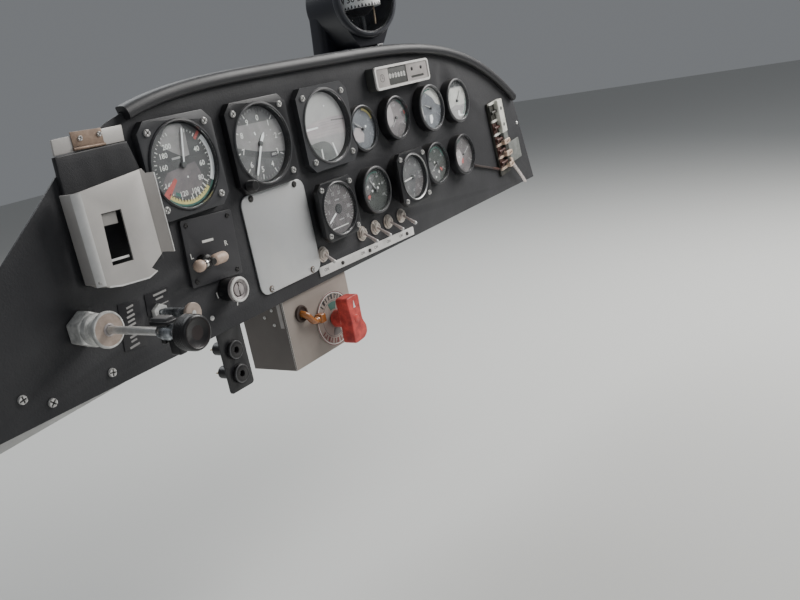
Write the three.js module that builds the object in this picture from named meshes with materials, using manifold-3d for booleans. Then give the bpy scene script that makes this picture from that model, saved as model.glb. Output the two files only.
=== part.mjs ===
// Instrument panel of a light aircraft: panel sheet with its edge trim, twelve instruments, compass,
// device holder, switches, ignition lock, throttle, pull control, fuse block and fuel selector box.
// Millimetres. X is to the right, Z is up, and the panel faces -Y. The origin is on the sheet's rear
// face, on its centre line, 10 mm above its bottom edge.

import * as THREE from 'three';
import { mergeVertices } from 'three/addons/utils/BufferGeometryUtils.js';
import Module from 'manifold-3d';

const wasm = await Module();
wasm.setup();

// Driving dimensions

const GAP = 0.3;                 // between two pieces that touch
const THICK = 2.5;               // panel sheet
const FACE = -THICK;             // y of the panel's front face
const SEAT = FACE - GAP;         // y where a piece laid on the front face begins
const PAD = 0.3;                 // how far the mounting pads stand off the sheet behind, up to y = 0

const PANEL = {
  bottom: -10, top: 205, bottomLeft: -446, bottomRight: 450,
  sideLeft: -404, sideLeftTop: 90, shoulderLeft: -345, shoulderRight: 418,
  reach: 312, dropLeft: 40.9, powerLeft: 5, dropRight: 33, powerRight: 3.6,
};

// Mounting pads behind the sheet, where it seats on the airframe: x and z from, x and z to
const PADS = [
  [[-24, -6], [6, 6]],
  [[-409, 39], [-379, 51]],
  [[388, 29], [418, 41]],
];

const TRIM = { from: -252, to: 416, inside: 7, outside: 5, front: -10.5, lip: 2.2 };

const LARGE = { hole: 40.3, can: 39.4, flange: 41.25, corner: 9, proud: 7.4, dial: 34.4, recess: 6.4 };
const SMALL = { hole: 26.4, can: 25.6, flange: 30.1, corner: 7, dial: 23.6, recess: 5.2 };

// Large instruments: name, x, z, length of the can behind the sheet, needles as [angle, length, width]
const LARGE_INSTRUMENTS = [
  { name: 'airspeed', x: -208.2, z: 140, can: 62, needles: [[13, 30, 2.4]] },
  { name: 'altimeter', x: -110, z: 140, can: 88, needles: [[-153, 30, 2.4], [38, 15, 4.6]] },
  { name: 'turn_indicator', x: -11.9, z: 140, can: 96, needles: [[90, 24, 2.4]] },
];

// Small instruments on square flanges: how far the flange's front stands from the sheet
const SQUARE_INSTRUMENTS = [
  { name: 'engine_gauge', x: -26.2, z: 57.6, proud: 12.3, can: 58, needles: [[-121, 21, 2.4]] },
  { name: 'climb_gauge', x: 107.1, z: 61.1, proud: 20.5, can: 44, needles: [[-95, 18, 2.4]] },
];

// Round gauges: bezel radius, how far it stands from the sheet, and the needle's angle
const ROUND_INSTRUMENTS = [
  { name: 'gauge_1', x: 50.1, z: 127.2, bezel: 25.2, proud: 7, needles: [[-60, 17, 2]] },
  { name: 'gauge_2', x: 108.8, z: 128.9, bezel: 24.6, proud: 12, needles: [[-130, 16, 2]] },
  { name: 'gauge_3', x: 184.8, z: 128.9, bezel: 27.5, proud: 12, needles: [[-70, 17, 2]] },
  { name: 'gauge_4', x: 248.4, z: 128.6, bezel: 27.2, proud: 12, needles: [[40, 17, 2]] },
  { name: 'gauge_5', x: 45.4, z: 60.8, bezel: 25.8, proud: 12, needles: [[-35, 17, 2]] },
  { name: 'gauge_6', x: 176.6, z: 63.6, bezel: 25.4, proud: 12, needles: [[-120, 16, 2]] },
  { name: 'gauge_7', x: 243, z: 61.8, bezel: 25.6, proud: 12, needles: [[60, 17, 2]] },
];

const BLANK = { x: -106.6, z: 51, width: 89.6, height: 94.6, radius: 10, thick: 1.6, hole: 38 };

const HOLDER = {
  left: -330, right: -251.5, front: -25, bend: 6, sheet: 1.4, base: -8,
  padBottom: 72, padTop: 169, tabTop: 181,
};

const MAGNETO = {
  x: -198, z: 65, width: 60, height: 58, thick: 2.7, tilt: 4, spindleX: -213.4, spindleZ: 57.2,
};
const LOCK = { x: -191.5, z: 25, barrel: 9.5, ring: 11.2, face: -20, core: 6 };
const THROTTLE = { x: -340, z: 43, rod: 3, bore: 3.7, hole: 8.3, collarFront: -36, knobFront: -130 };
const PULL = { x: -269, z: 31, rod: 2.2, bore: 2.8, hole: 5.3, knobFront: -46 };

const METER = { left: 77, right: 187.9, bottom: 161.9, top: 186.8, front: -16.2 };
const FUSES = { x: 356.3, z: 63.5, width: 32, height: 101, front: -12.5, tilt: -6 };

// Toggle switches: the first stands alone, the other four share one bus bar behind the sheet
const SWITCH_ALONE = { x: -54.5, z: 17.2, reach: -17.4, drop: 8.6 };
const SWITCH_ROW = { z: 20.1, columns: [15.5, 41, 66.4, 93.5], reach: -22.4, drop: 10 };

const STRIP = { x: 24, z: -0.8, width: 178, height: 9.6, tilt: 1.15 };

const BOX = { left: -125, right: -22, top: -10.3, bottom: -82, back: 58, sheet: 1.6, lipTop: 4 };
const SELECTOR = { x: -55, z: -51.5, dial: 28.5, spindle: 5, bore: 5.6 };
const GROMMET = { x: -102, z: -30, radius: 8, hole: 6.1 };
const HOSE_BOSS = { left: -85, right: -77, z: -42, half: 4.6, front: -9.8 };

const JACKS = { x: -198, upper: -30, lower: -53, width: 30, bottom: -68, lipTop: 8 };

const COMPASS = { x: 131.6, y: 17.9, z: 262, yaw: -18, ring: 42.5, depth: 62, base: 212, shelf: 191 };

// Materials

const paint = (color, roughness, metalness = 0) =>
  new THREE.MeshStandardMaterial({ color, roughness, metalness });

const MATERIAL = {
  panel: () => paint(0x3c3d41, 0.8),
  rubber: () => paint(0x17181a, 0.85),
  black: () => paint(0x1b1c1e, 0.55),
  dial: () => paint(0x34363a, 0.5),
  paleDial: () => paint(0xb9bab8, 0.4),
  aluminium: () => paint(0xb9b8b4, 0.45, 0.8),
  zinc: () => paint(0xa6a6a2, 0.4, 0.9),
  chrome: () => paint(0xd8d8d8, 0.15, 1),
  blush: () => paint(0xc9aa9b, 0.6),
  ivory: () => paint(0xd9d7cf, 0.6),
  boxPaint: () => paint(0x9a948c, 0.6),
  red: () => paint(0xb03a35, 0.5),
  amber: () => paint(0xb5702a, 0.3),
  maroon: () => paint(0x2a2122, 0.45),
};

// Solids

function solid(geometry) {
  const plain = new THREE.BufferGeometry();
  plain.setAttribute('position', geometry.getAttribute('position'));
  if (geometry.index) plain.setIndex(geometry.index);
  const merged = mergeVertices(plain, 1e-4);
  const position = merged.getAttribute('position');
  const corner = [0, 1, 2].map(() => new THREE.Vector3());
  const faces = [];
  let volume = 0;
  for (let i = 0; i < merged.index.count; i += 3) {
    const face = [0, 1, 2].map((k) => merged.index.getX(i + k));
    if (new Set(face).size < 3) continue;
    face.forEach((vertex, k) => corner[k].fromBufferAttribute(position, vertex));
    volume += corner[0].dot(corner[1].clone().cross(corner[2]));
    faces.push(face);
  }
  if (volume < 0) faces.forEach((face) => face.reverse());
  return new wasm.Manifold(new wasm.Mesh({
    numProp: 3,
    vertProperties: new Float32Array(position.array),
    triVerts: new Uint32Array(faces.flat()),
  }));
}

function join(...solids) {
  return solids.reduce((sum, next) => sum.add(next));
}

function toGeometry(manifold) {
  const mesh = manifold.getMesh();
  const geometry = new THREE.BufferGeometry();
  geometry.setAttribute('position', new THREE.BufferAttribute(mesh.vertProperties, 3));
  geometry.setIndex(new THREE.BufferAttribute(mesh.triVerts, 1));
  geometry.computeVertexNormals();
  return geometry;
}

const panel = new THREE.Group();

function piece(name, manifold, material, place = {}) {
  const mesh = new THREE.Mesh(toGeometry(manifold), material);
  mesh.name = name;
  mesh.position.set(place.x ?? 0, place.y ?? 0, place.z ?? 0);
  mesh.rotation.y = THREE.MathUtils.degToRad(place.tilt ?? 0);
  (place.group ?? panel).add(mesh);
  return mesh;
}

// A flat outline in x and z, given thickness from yFront back to yRear
function slab(shape, yFront, yRear, curveSegments = 3) {
  const depth = yRear - yFront;
  const geometry = new THREE.ExtrudeGeometry(shape, { depth, bevelEnabled: false, curveSegments });
  return solid(geometry.rotateX(Math.PI / 2).translate(0, yRear, 0));
}

// A flat outline in x and y, given height from zLow up to zHigh
function column(shape, zLow, zHigh, curveSegments = 3) {
  const depth = zHigh - zLow;
  const geometry = new THREE.ExtrudeGeometry(shape, { depth, bevelEnabled: false, curveSegments });
  return solid(geometry.translate(0, 0, zLow));
}

function block(x0, x1, y0, y1, z0, z1) {
  const geometry = new THREE.BoxGeometry(x1 - x0, y1 - y0, z1 - z0);
  return solid(geometry.translate((x0 + x1) / 2, (y0 + y1) / 2, (z0 + z1) / 2));
}

// A round bar along Y
function bar(radius, y0, y1, x = 0, z = 0, sides = 24) {
  const geometry = new THREE.CylinderGeometry(radius, radius, y1 - y0, sides);
  return solid(geometry.translate(x, (y0 + y1) / 2, z));
}

// A body turned about Y from [radius, y] points, both ends on the axis, the axis at x and z
function turned(profile, sides = 28, x = 0, z = 0) {
  const geometry = new THREE.LatheGeometry(profile.map(([r, y]) => new THREE.Vector2(r, y)), sides);
  return solid(geometry.translate(x, 0, z));
}

// A straight round rod between two points, thicker at one end if wanted
function rod(from, to, startRadius, endRadius, sides = 10) {
  const a = new THREE.Vector3(...from);
  const b = new THREE.Vector3(...to);
  const geometry = new THREE.CylinderGeometry(endRadius, startRadius, a.distanceTo(b), sides);
  const turn = new THREE.Quaternion().setFromUnitVectors(
    new THREE.Vector3(0, 1, 0), b.clone().sub(a).normalize());
  const middle = a.clone().add(b).multiplyScalar(0.5);
  return solid(geometry.applyQuaternion(turn).translate(middle.x, middle.y, middle.z));
}

function polygon(points) {
  return new THREE.Shape(points.map(([x, y]) => new THREE.Vector2(x, y)));
}

function roundedRectangle(width, height, radius, x = 0, y = 0) {
  const shape = new THREE.Shape();
  const [w, h] = [width / 2 - radius, height / 2 - radius];
  shape.absarc(x + w, y + h, radius, 0, Math.PI / 2);
  shape.absarc(x - w, y + h, radius, Math.PI / 2, Math.PI);
  shape.absarc(x - w, y - h, radius, Math.PI, 1.5 * Math.PI);
  shape.absarc(x + w, y - h, radius, 1.5 * Math.PI, 2 * Math.PI);
  return shape;
}

function cutCornerSquare(half, corner) {
  const inner = half - corner;
  return polygon([
    [half, -inner], [half, inner], [inner, half], [-inner, half],
    [-half, inner], [-half, -inner], [-inner, -half], [inner, -half],
  ]);
}

function hexagon(acrossFlats, yFront, yRear, x = 0, z = 0) {
  return bar(acrossFlats / Math.sqrt(3), yFront, yRear, x, z, 6);
}

// Panel sheet

function topEdge(x) {
  const [drop, power] = x < 0
    ? [PANEL.dropLeft, PANEL.powerLeft]
    : [PANEL.dropRight, PANEL.powerRight];
  return PANEL.top - drop * (Math.abs(x) / PANEL.reach) ** power;
}

// Points along the arched top edge, moved outwards by the given distance
function archPoints(from, to, count, outwards = 0) {
  const points = [];
  for (let i = 0; i <= count; i++) {
    const x = from + (to - from) * i / count;
    const slope = (topEdge(x + 0.5) - topEdge(x - 0.5));
    const length = Math.hypot(1, slope);
    points.push([x - outwards * slope / length, topEdge(x) + outwards / length]);
  }
  return points;
}

function roundHole(x, z, radius) {
  const hole = new THREE.Path();
  hole.absarc(x, z, radius, 0, 2 * Math.PI, true);
  return hole;
}

function makePanelSheet() {
  const outline = polygon([
    [PANEL.bottomLeft, PANEL.bottom], [PANEL.bottomRight, PANEL.bottom],
    ...archPoints(PANEL.shoulderRight, PANEL.shoulderLeft, 30),
    [PANEL.sideLeft, PANEL.sideLeftTop],
  ]);
  const holes = [
    ...LARGE_INSTRUMENTS.map(({ x, z }) => [x, z, LARGE.hole]),
    ...SQUARE_INSTRUMENTS.map(({ x, z }) => [x, z, SMALL.hole]),
    ...ROUND_INSTRUMENTS.map(({ x, z, bezel }) => [x, z, bezel - 2.2]),
    [BLANK.x, BLANK.z, BLANK.hole],
  ];
  const smallHoles = [
    [MAGNETO.spindleX, MAGNETO.spindleZ, 8],
    [LOCK.x, LOCK.z, 9.8],
    [THROTTLE.x, THROTTLE.z, THROTTLE.hole],
    [PULL.x, PULL.z, PULL.hole],
    [SWITCH_ALONE.x, SWITCH_ALONE.z, 6.2],
    ...SWITCH_ROW.columns.map((x) => [x, SWITCH_ROW.z, 6.2]),
  ];
  outline.holes = holes.map(([x, z, radius]) => roundHole(x, z, radius));
  let sheet = slab(outline, FACE, -PAD, 10);
  for (const [[x0, z0], [x1, z1]] of PADS) {
    sheet = sheet.add(block(x0, x1, -PAD - 1, 0, z0, z1));
  }
  for (const [x, z, radius] of smallHoles) {
    sheet = sheet.subtract(bar(radius, FACE - 1, 1, x, z, 14));
  }
  piece('panel_sheet', sheet, MATERIAL.panel());
}

function makeEdgeTrim() {
  const band = (inside, outside) => polygon([
    ...archPoints(TRIM.from, TRIM.to, 26, outside),
    ...archPoints(TRIM.to, TRIM.from, 26, -inside),
  ]);
  const whole = slab(band(TRIM.inside, TRIM.outside), TRIM.front, TRIM.lip + GAP);
  const groove = slab(band(TRIM.inside + 2, GAP), SEAT, GAP);
  const step = slab(band(TRIM.inside + 2, TRIM.outside - 3), TRIM.front - 1, TRIM.front + 2);
  const crown = slab(band(TRIM.inside - 3, TRIM.outside + 2), TRIM.front - 1, TRIM.front + 2);
  const bevel = step.subtract(crown);
  piece('edge_trim', whole.subtract(groove).subtract(bevel), MATERIAL.rubber());
}

function makeLowerStrip() {
  const outline = polygon([[-440, -18], [-312, -11], [-312, 10], [-440, 10]]);
  piece('lower_left_strip', slab(outline, GAP, GAP + 1.6), MATERIAL.aluminium());
}

// Instruments

// A dial with its hub and needles, its face at y = 0; angles run clockwise from the top
function dialSolid(radius, needles, sides) {
  const parts = [bar(radius, 0, 1, 0, 0, sides), bar(3, -2.2, 0.5, 0, 0, 8)];
  needles.forEach(([angle, length, width], level) => {
    const y = -1.1 - level * 0.5;
    const [half, shoulder] = [width / 2, length * 0.75];
    const needle = polygon([[-width, -5], [width, -5], [half, shoulder], [0, length], [-half, shoulder]]);
    const turn = THREE.MathUtils.degToRad(angle);
    const geometry = new THREE.ExtrudeGeometry(needle, { depth: 0.5, bevelEnabled: false });
    parts.push(solid(geometry.rotateX(Math.PI / 2).translate(0, y, 0).rotateY(turn)));
  });
  return join(...parts);
}

function makeLargeInstruments() {
  for (const { name, x, z, can, needles } of LARGE_INSTRUMENTS) {
    const front = FACE - LARGE.proud;
    const floor = front + LARGE.recess;
    let body = join(
      slab(cutCornerSquare(LARGE.flange, LARGE.corner), front, SEAT),
      turned([
        [0, SEAT - 1], [LARGE.can, SEAT - 1], [LARGE.can, can - 6], [LARGE.can - 2, can], [0, can],
      ], 24),
      turned([[0, front - 1.4], [37.2, front - 1.4], [38.6, front], [38.6, front + 1], [0, front + 1]], 30),
      bar(6, can - 1, can + 8, 0, 16, 8),
      bar(6, can - 1, can + 8, 0, -16, 8),
    );
    body = body.subtract(turned([[0, front - 2], [36, front - 2], [34.9, floor], [0, floor]], 30));
    if (name === 'altimeter') {
      const knob = [
        [0, -20], [4.6, -20], [5.4, -18.6], [5.4, -12], [2.6, -11], [2.6, front + 1], [0, front + 1],
      ];
      body = body.add(turned(knob, 12, -33, -33));
    }
    if (name === 'turn_indicator') {
      const [neighbour] = ROUND_INSTRUMENTS;
      const notch = bar(neighbour.bezel + 0.6, front - 3, SEAT + 0.1, neighbour.x - x, neighbour.z - z, 30);
      body = body.subtract(notch);
    }
    piece(`${name}_case`, body, MATERIAL.black(), { x, z });
    const dial = dialSolid(LARGE.dial, needles, 24);
    const tint = name === 'turn_indicator' ? MATERIAL.paleDial() : MATERIAL.dial();
    piece(`${name}_dial`, dial, tint, { x, y: floor - GAP - 1, z });
  }
}

function makeSquareInstruments() {
  for (const { name, x, z, proud, can, needles } of SQUARE_INSTRUMENTS) {
    const front = FACE - proud;
    const floor = front + SMALL.recess;
    const body = join(
      slab(cutCornerSquare(SMALL.flange, SMALL.corner), front, front + 6),
      bar(27.6, front + 5, SEAT, 0, 0, 22),
      turned([
        [0, SEAT - 1], [SMALL.can, SEAT - 1], [SMALL.can, can - 4], [SMALL.can - 2, can], [0, can],
      ], 22),
      turned([[0, front - 1.2], [26.2, front - 1.2], [27.4, front], [27.4, front + 1], [0, front + 1]], 26),
      bar(4, can - 1, can + 7, 0, 0, 8),
    ).subtract(turned([[0, front - 2], [25.2, front - 2], [24.1, floor], [0, floor]], 26));
    piece(`${name}_case`, body, MATERIAL.black(), { x, z });
    const dial = dialSolid(SMALL.dial, needles, 18);
    piece(`${name}_dial`, dial, MATERIAL.dial(), { x, y: floor - GAP - 1, z });
  }
}

function makeRoundInstruments() {
  for (const { name, x, z, bezel, proud, needles } of ROUND_INSTRUMENTS) {
    const front = FACE - proud;
    const floor = front + SMALL.recess;
    const can = bezel - 2.9;
    const profile = [
      [0, floor], [bezel - 2.6, floor], [bezel - 2.2, front + 0.6], [bezel - 1.4, front],
      [bezel, front + 1.4], [bezel, SEAT], [can, SEAT], [can, 36], [4, 36], [4, 43], [0, 43],
    ];
    piece(`${name}_case`, turned(profile, 22), MATERIAL.black(), { x, z });
    const dial = dialSolid(bezel - 3, needles, 18);
    piece(`${name}_dial`, dial, MATERIAL.dial(), { x, y: floor - GAP - 1, z });
  }
}

// Compass on its bracket

function makeCompass() {
  const { x, y, z, yaw, ring, depth, base, shelf } = COMPASS;
  const stand = join(
    block(104, 172, GAP, GAP + 2, 160, shelf - GAP),
    block(104, 172, GAP, 92, shelf - GAP - 2, shelf - GAP),
  );
  piece('compass_bracket', stand, MATERIAL.aluminium());

  const group = new THREE.Group();
  group.position.set(x, y, z);
  group.rotation.z = THREE.MathUtils.degToRad(yaw);
  panel.add(group);
  const low = base - z;
  const [neck, turn] = [17, THREE.MathUtils.degToRad(37)];
  const hood = new THREE.Shape();
  hood.moveTo(neck, low);
  hood.absarc(0, 0, ring - 1, -turn, Math.PI + turn);
  hood.lineTo(-neck, low);
  let body = join(
    slab(hood, 0, depth, 10),
    turned([[0, -7], [38.5, -7], [ring - 0.8, -5.4], [ring, -3.5], [ring, 1], [0, 1]], 30),
    block(-26, 26, 12, depth, shelf - z, low + 1),
    block(-38, 38, depth - 18, depth + 10, shelf - z, -22),
  );
  body = body.subtract(turned([[0, -8], [36.5, -8], [35, -4], [35, 34], [0, 34]], 30));
  piece('compass_case', body, MATERIAL.black(), { group });
  const drum = join(
    rod([0, 0, -4], [0, 0, 11], 22, 23, 20),
    rod([0, 0, -14], [0, 0, -3], 6, 14, 12),
    rod([0, 0, -34.6], [0, 0, -12], 3, 2.2, 8),
  );
  piece('compass_card', drum, MATERIAL.black(), { group, y: 10 });
}

// Blank plate and device holder

function makeBlankPlate() {
  const { x, z, width, height, radius, thick } = BLANK;
  const outline = roundedRectangle(width, height, radius);
  piece('blank_plate', slab(outline, SEAT - thick, SEAT), MATERIAL.aluminium(), { x, z });
}

function makeHolder() {
  const { left, right, front, bend, sheet, base, padBottom, padTop, tabTop } = HOLDER;
  const pad = polygon([
    [left + 2, padBottom], [right - 1, padBottom], [right - 1, padTop - 22], [-258, padTop], [-324, padTop],
  ]);
  piece('holder_pad', slab(pad, base + GAP, SEAT), MATERIAL.black());
  const tab = polygon([[-322, padTop + GAP], [-258, padTop + GAP], [-257, tabTop + 1], [-321, tabTop]]);
  piece('holder_tab', slab(tab, SEAT - 2, SEAT), MATERIAL.aluminium());

  // Plan of the bent sheet: left wall, rounded bend, front, slight fold back, short right return
  const outer = new THREE.Shape();
  outer.moveTo(left, base);
  outer.lineTo(left, front + bend);
  outer.absarc(left + bend, front + bend, bend, Math.PI, 1.5 * Math.PI);
  outer.lineTo(-268, front);
  outer.lineTo(right, front + 4);
  outer.lineTo(right, front + 12);
  outer.lineTo(right - sheet, front + 12);
  outer.lineTo(right - sheet, front + 4 + sheet);
  outer.lineTo(-268, front + sheet);
  outer.lineTo(left + bend, front + sheet);
  outer.absarc(left + bend, front + bend, bend - sheet, 1.5 * Math.PI, Math.PI, true);
  outer.lineTo(left + sheet, base);
  const outline = polygon([
    [left - 1, 141.5], [-330.9, 74.5], [-322, 69.3], [-311, 67], [-285, 65], [-276, 68], [-280.7, 72],
    [-266, 81], [right + 1, 76.7], [right + 1, 142], [-262, 143], [-265, 147.2],
  ]);
  const window = polygon([[-314.4, 83.8], [-294.9, 82.8], [-293.8, 122.2], [-312, 122.9]]);
  const floor = polygon([
    [left + 1, 74.2], [-322, 69.3], [-311, 67], [-285, 65], [-278, 67.4],
    [-278, 69], [-285, 66.6], [-311, 68.6], [-321.4, 70.8], [left + 1, 75.8],
  ]);
  const pocket = column(outer, 60, 150)
    .intersect(slab(outline, front - 1, base + 1))
    .subtract(slab(window, front - 1, front + 3))
    .add(slab(floor, front + 0.6, base));
  piece('holder_pocket', pocket, MATERIAL.aluminium());
}

// Switches and locks

function makeMagnetoSwitch() {
  const { x, z, width, height, thick, tilt, spindleX, spindleZ } = MAGNETO;
  const plate = slab(roundedRectangle(width, height, 2), SEAT - thick, SEAT);
  const turn = THREE.MathUtils.degToRad(-tilt);
  const [dx, dz] = [spindleX - x, spindleZ - z];
  const holeX = dx * Math.cos(turn) + dz * Math.sin(turn);
  const holeZ = -dx * Math.sin(turn) + dz * Math.cos(turn);
  const opening = bar(6.2, SEAT - thick - 1, SEAT + 1, holeX, holeZ, 18);
  piece('magneto_plate', plate.subtract(opening), MATERIAL.black(), { x, z, tilt });

  const body = join(bar(20, GAP, 30, 0, 0, 20), bar(7.4, SEAT + 0.1, GAP + 1, 0, 0, 18));
  const terminals = [0, 120, 240].map((angle) => {
    const around = THREE.MathUtils.degToRad(angle);
    return bar(2, 29, 36, 13 * Math.cos(around), 13 * Math.sin(around), 6);
  });
  const switchBody = join(body, ...terminals).subtract(bar(4.7, SEAT, 26, 0, 0, 18));
  piece('magneto_body', switchBody, MATERIAL.black(), { x: spindleX, z: spindleZ });

  const grip = new THREE.CapsuleGeometry(5, 28, 3, 10).rotateZ(Math.PI / 2).translate(0, -17, 0);
  const spindle = turned([[0, -14], [5.8, -14], [6.2, -9.5], [4.2, -9.5], [4.2, 25], [0, 25]], 18);
  piece('magneto_handle', join(solid(grip), spindle), MATERIAL.blush(), { x: spindleX, z: spindleZ });
}

function makeIgnitionLock() {
  const { x, z, barrel, ring, face, core } = LOCK;
  const profile = [
    [0, 34], [14, 34], [14, GAP], [barrel - 0.4, GAP], [barrel - 0.4, SEAT], [barrel, SEAT],
    [barrel, face + 5], [ring, face + 4], [ring, face + 1], [ring - 1.2, face],
    [ring - 2.6, face], [ring - 3, face + 1.4], [core + 0.7, face + 2.4], [core + 0.7, 10], [0, 10],
  ];
  piece('ignition_lock', turned(profile, 20), MATERIAL.chrome(), { x, z });
  const slot = block(-0.9, 0.9, face - 2, face + 6, -4, 4);
  const plug = turned([
    [0, face + 1.2], [core - 0.8, face + 1.2], [core, face + 2.4], [core, 9.5], [0, 9.5],
  ], 20);
  piece('lock_core', plug.subtract(slot), MATERIAL.chrome(), { x, z });
}

function toggleSolid(x, z, reach, drop) {
  return join(
    block(x - 6.5, x + 6.5, GAP, 19, z - 10, z + 10),
    bar(5.4, -7.4, GAP + 1, x, z, 10),
    hexagon(12.4, SEAT - 2.4, SEAT, x, z),
    rod([x, -6.4, z], [x, reach, z - drop], 1.2, 1.9, 8),
    block(x - 1.2, x + 1.2, 18, 26, z + 5, z + 7),
    block(x - 1.2, x + 1.2, 18, 26, z - 7, z - 5),
  );
}

function makeToggles() {
  const alone = toggleSolid(0, 0, SWITCH_ALONE.reach, SWITCH_ALONE.drop);
  piece('master_toggle', alone, MATERIAL.chrome(), { x: SWITCH_ALONE.x, z: SWITCH_ALONE.z });
  const { z, columns, reach, drop } = SWITCH_ROW;
  const busBar = block(columns[0] - 4, columns[3] + 4, 22, 23.2, z + 3, z + 9);
  const row = join(busBar, ...columns.map((x) => toggleSolid(x, z, reach, drop)));
  piece('toggle_row', row, MATERIAL.chrome());
  const label = roundedRectangle(STRIP.width, STRIP.height, 1);
  piece('label_strip', slab(label, SEAT - 0.9, SEAT, 2), MATERIAL.ivory(), STRIP);
}

// Push-pull controls

function makeThrottle() {
  const { x, z, rod: stem, bore, hole, collarFront, knobFront } = THROTTLE;
  const nutFront = -22;
  const mount = join(
    hexagon(25, nutFront, SEAT),
    turned([[0, collarFront], [12.8, collarFront], [13.8, collarFront + 1], [13.8, collarFront + 3],
      [9, collarFront + 4.4], [9, nutFront + 1], [0, nutFront + 1]], 24),
    turned([[0, SEAT - 1], [hole - 0.5, SEAT - 1], [hole - 0.5, GAP + 1], [0, GAP + 1]], 24),
    hexagon(22, GAP, 7),
    bar(6.5, 6, 64, 0, 0, 20),
  ).subtract(bar(bore, collarFront - 1, 66, 0, 0, 24));
  piece('throttle_mount', mount, MATERIAL.zinc(), { x, z });

  // The hub behind the knob carries two short wings, one above the rod and one below it
  const [hubRear, knobRear] = [-92, -117.5];
  const shaft = join(
    turned([
      [0, knobFront + 9], [stem, knobFront + 9], [stem, knobRear + GAP], [5.6, knobRear + GAP],
      [5.6, hubRear], [stem, hubRear], [stem, 12], [0, 12],
    ], 24),
    block(-5, 5, -106, -88, 5, 11),
    block(-3.5, 3.5, -111, -101, -16, -4),
  );
  piece('throttle_rod', shaft, MATERIAL.zinc(), { x, z });
  const knob = turned([
    [0, knobFront + 1], [9, knobFront + 1], [10.4, knobFront], [11.8, knobFront + 0.8],
    [12.6, knobFront + 3], [12.6, knobRear + 1.4], [11.4, knobRear], [stem + GAP, knobRear],
    [stem + GAP, knobFront + 8.5], [0, knobFront + 8.5],
  ], 24);
  piece('throttle_knob', knob, MATERIAL.maroon(), { x, z });
}

function makePullControl() {
  const { x, z, rod: stem, bore, hole, knobFront } = PULL;
  const mount = join(
    hexagon(13, -7, SEAT),
    bar(hole - 0.5, SEAT - 1, GAP + 1, 0, 0, 20),
    hexagon(13, GAP, 5),
    bar(4, 4, 62, 0, 0, 16),
  ).subtract(bar(bore, -9, 64, 0, 0, 20));
  piece('pull_mount', mount, MATERIAL.zinc(), { x, z });
  const knob = turned([
    [0, knobFront], [7.4, knobFront], [8.2, knobFront + 0.8], [8.2, knobFront + 3.4], [4.4, knobFront + 5],
    [3.9, -12], [stem, -12], [stem, 52], [0, 52],
  ], 24);
  piece('pull_knob', knob, MATERIAL.blush(), { x, z });
}

// Meter and fuse block

function makeHourMeter() {
  const { left, right, bottom, top, front } = METER;
  const [width, height] = [right - left, top - bottom];
  const [x, z] = [(left + right) / 2, (top + bottom) / 2];
  const body = slab(roundedRectangle(width - 2.4, height - 2.4, 3), front + 2, SEAT);
  const rim = slab(roundedRectangle(width, height, 4), front, front + 6);
  const well = slab(roundedRectangle(width - 5, height - 5, 2), front - 1, front + 2.2);
  piece('hour_meter', join(body, rim).subtract(well), MATERIAL.ivory(), { x, z });
}

function makeFuseBlock() {
  const { x, z, width, height, front, tilt } = FUSES;
  const [w, h] = [width / 2, height / 2];
  const finFront = front + 4.5;
  const base = block(-w, w, SEAT - 3, SEAT, -h, h);
  const rail = block(w - 15, w - 1, front, SEAT, -h + 30, h);
  const ribs = [];
  for (let i = 0; i <= 5; i++) {
    const level = h - 1.6 - i * (height - 3.2) / 5;
    ribs.push(block(-w, w - 4, finFront, SEAT, level - 1.6, level + 1.6));
  }
  const foot = block(w - 6, w + 40, SEAT - 2.5, SEAT, -h + 14, -h + 42);
  const stub = block(w - 12, w - 1, front, SEAT, -h + 6, -h + 20);
  const arm = rod([w - 6, front + 2.6, -h + 16], [w + 27, front + 2.6, -h - 27], 2.6, 2.2, 8);
  piece('fuse_block', join(base, rail, foot, stub, arm, ...ribs), MATERIAL.ivory(), { x, z, tilt });
  piece('fuse_wire', rod([277, -4.4, 42], [343.4, -4.4, 22.7], 1.6, 1.6, 8), MATERIAL.amber());
}

// Fuel selector box under the panel

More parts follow.
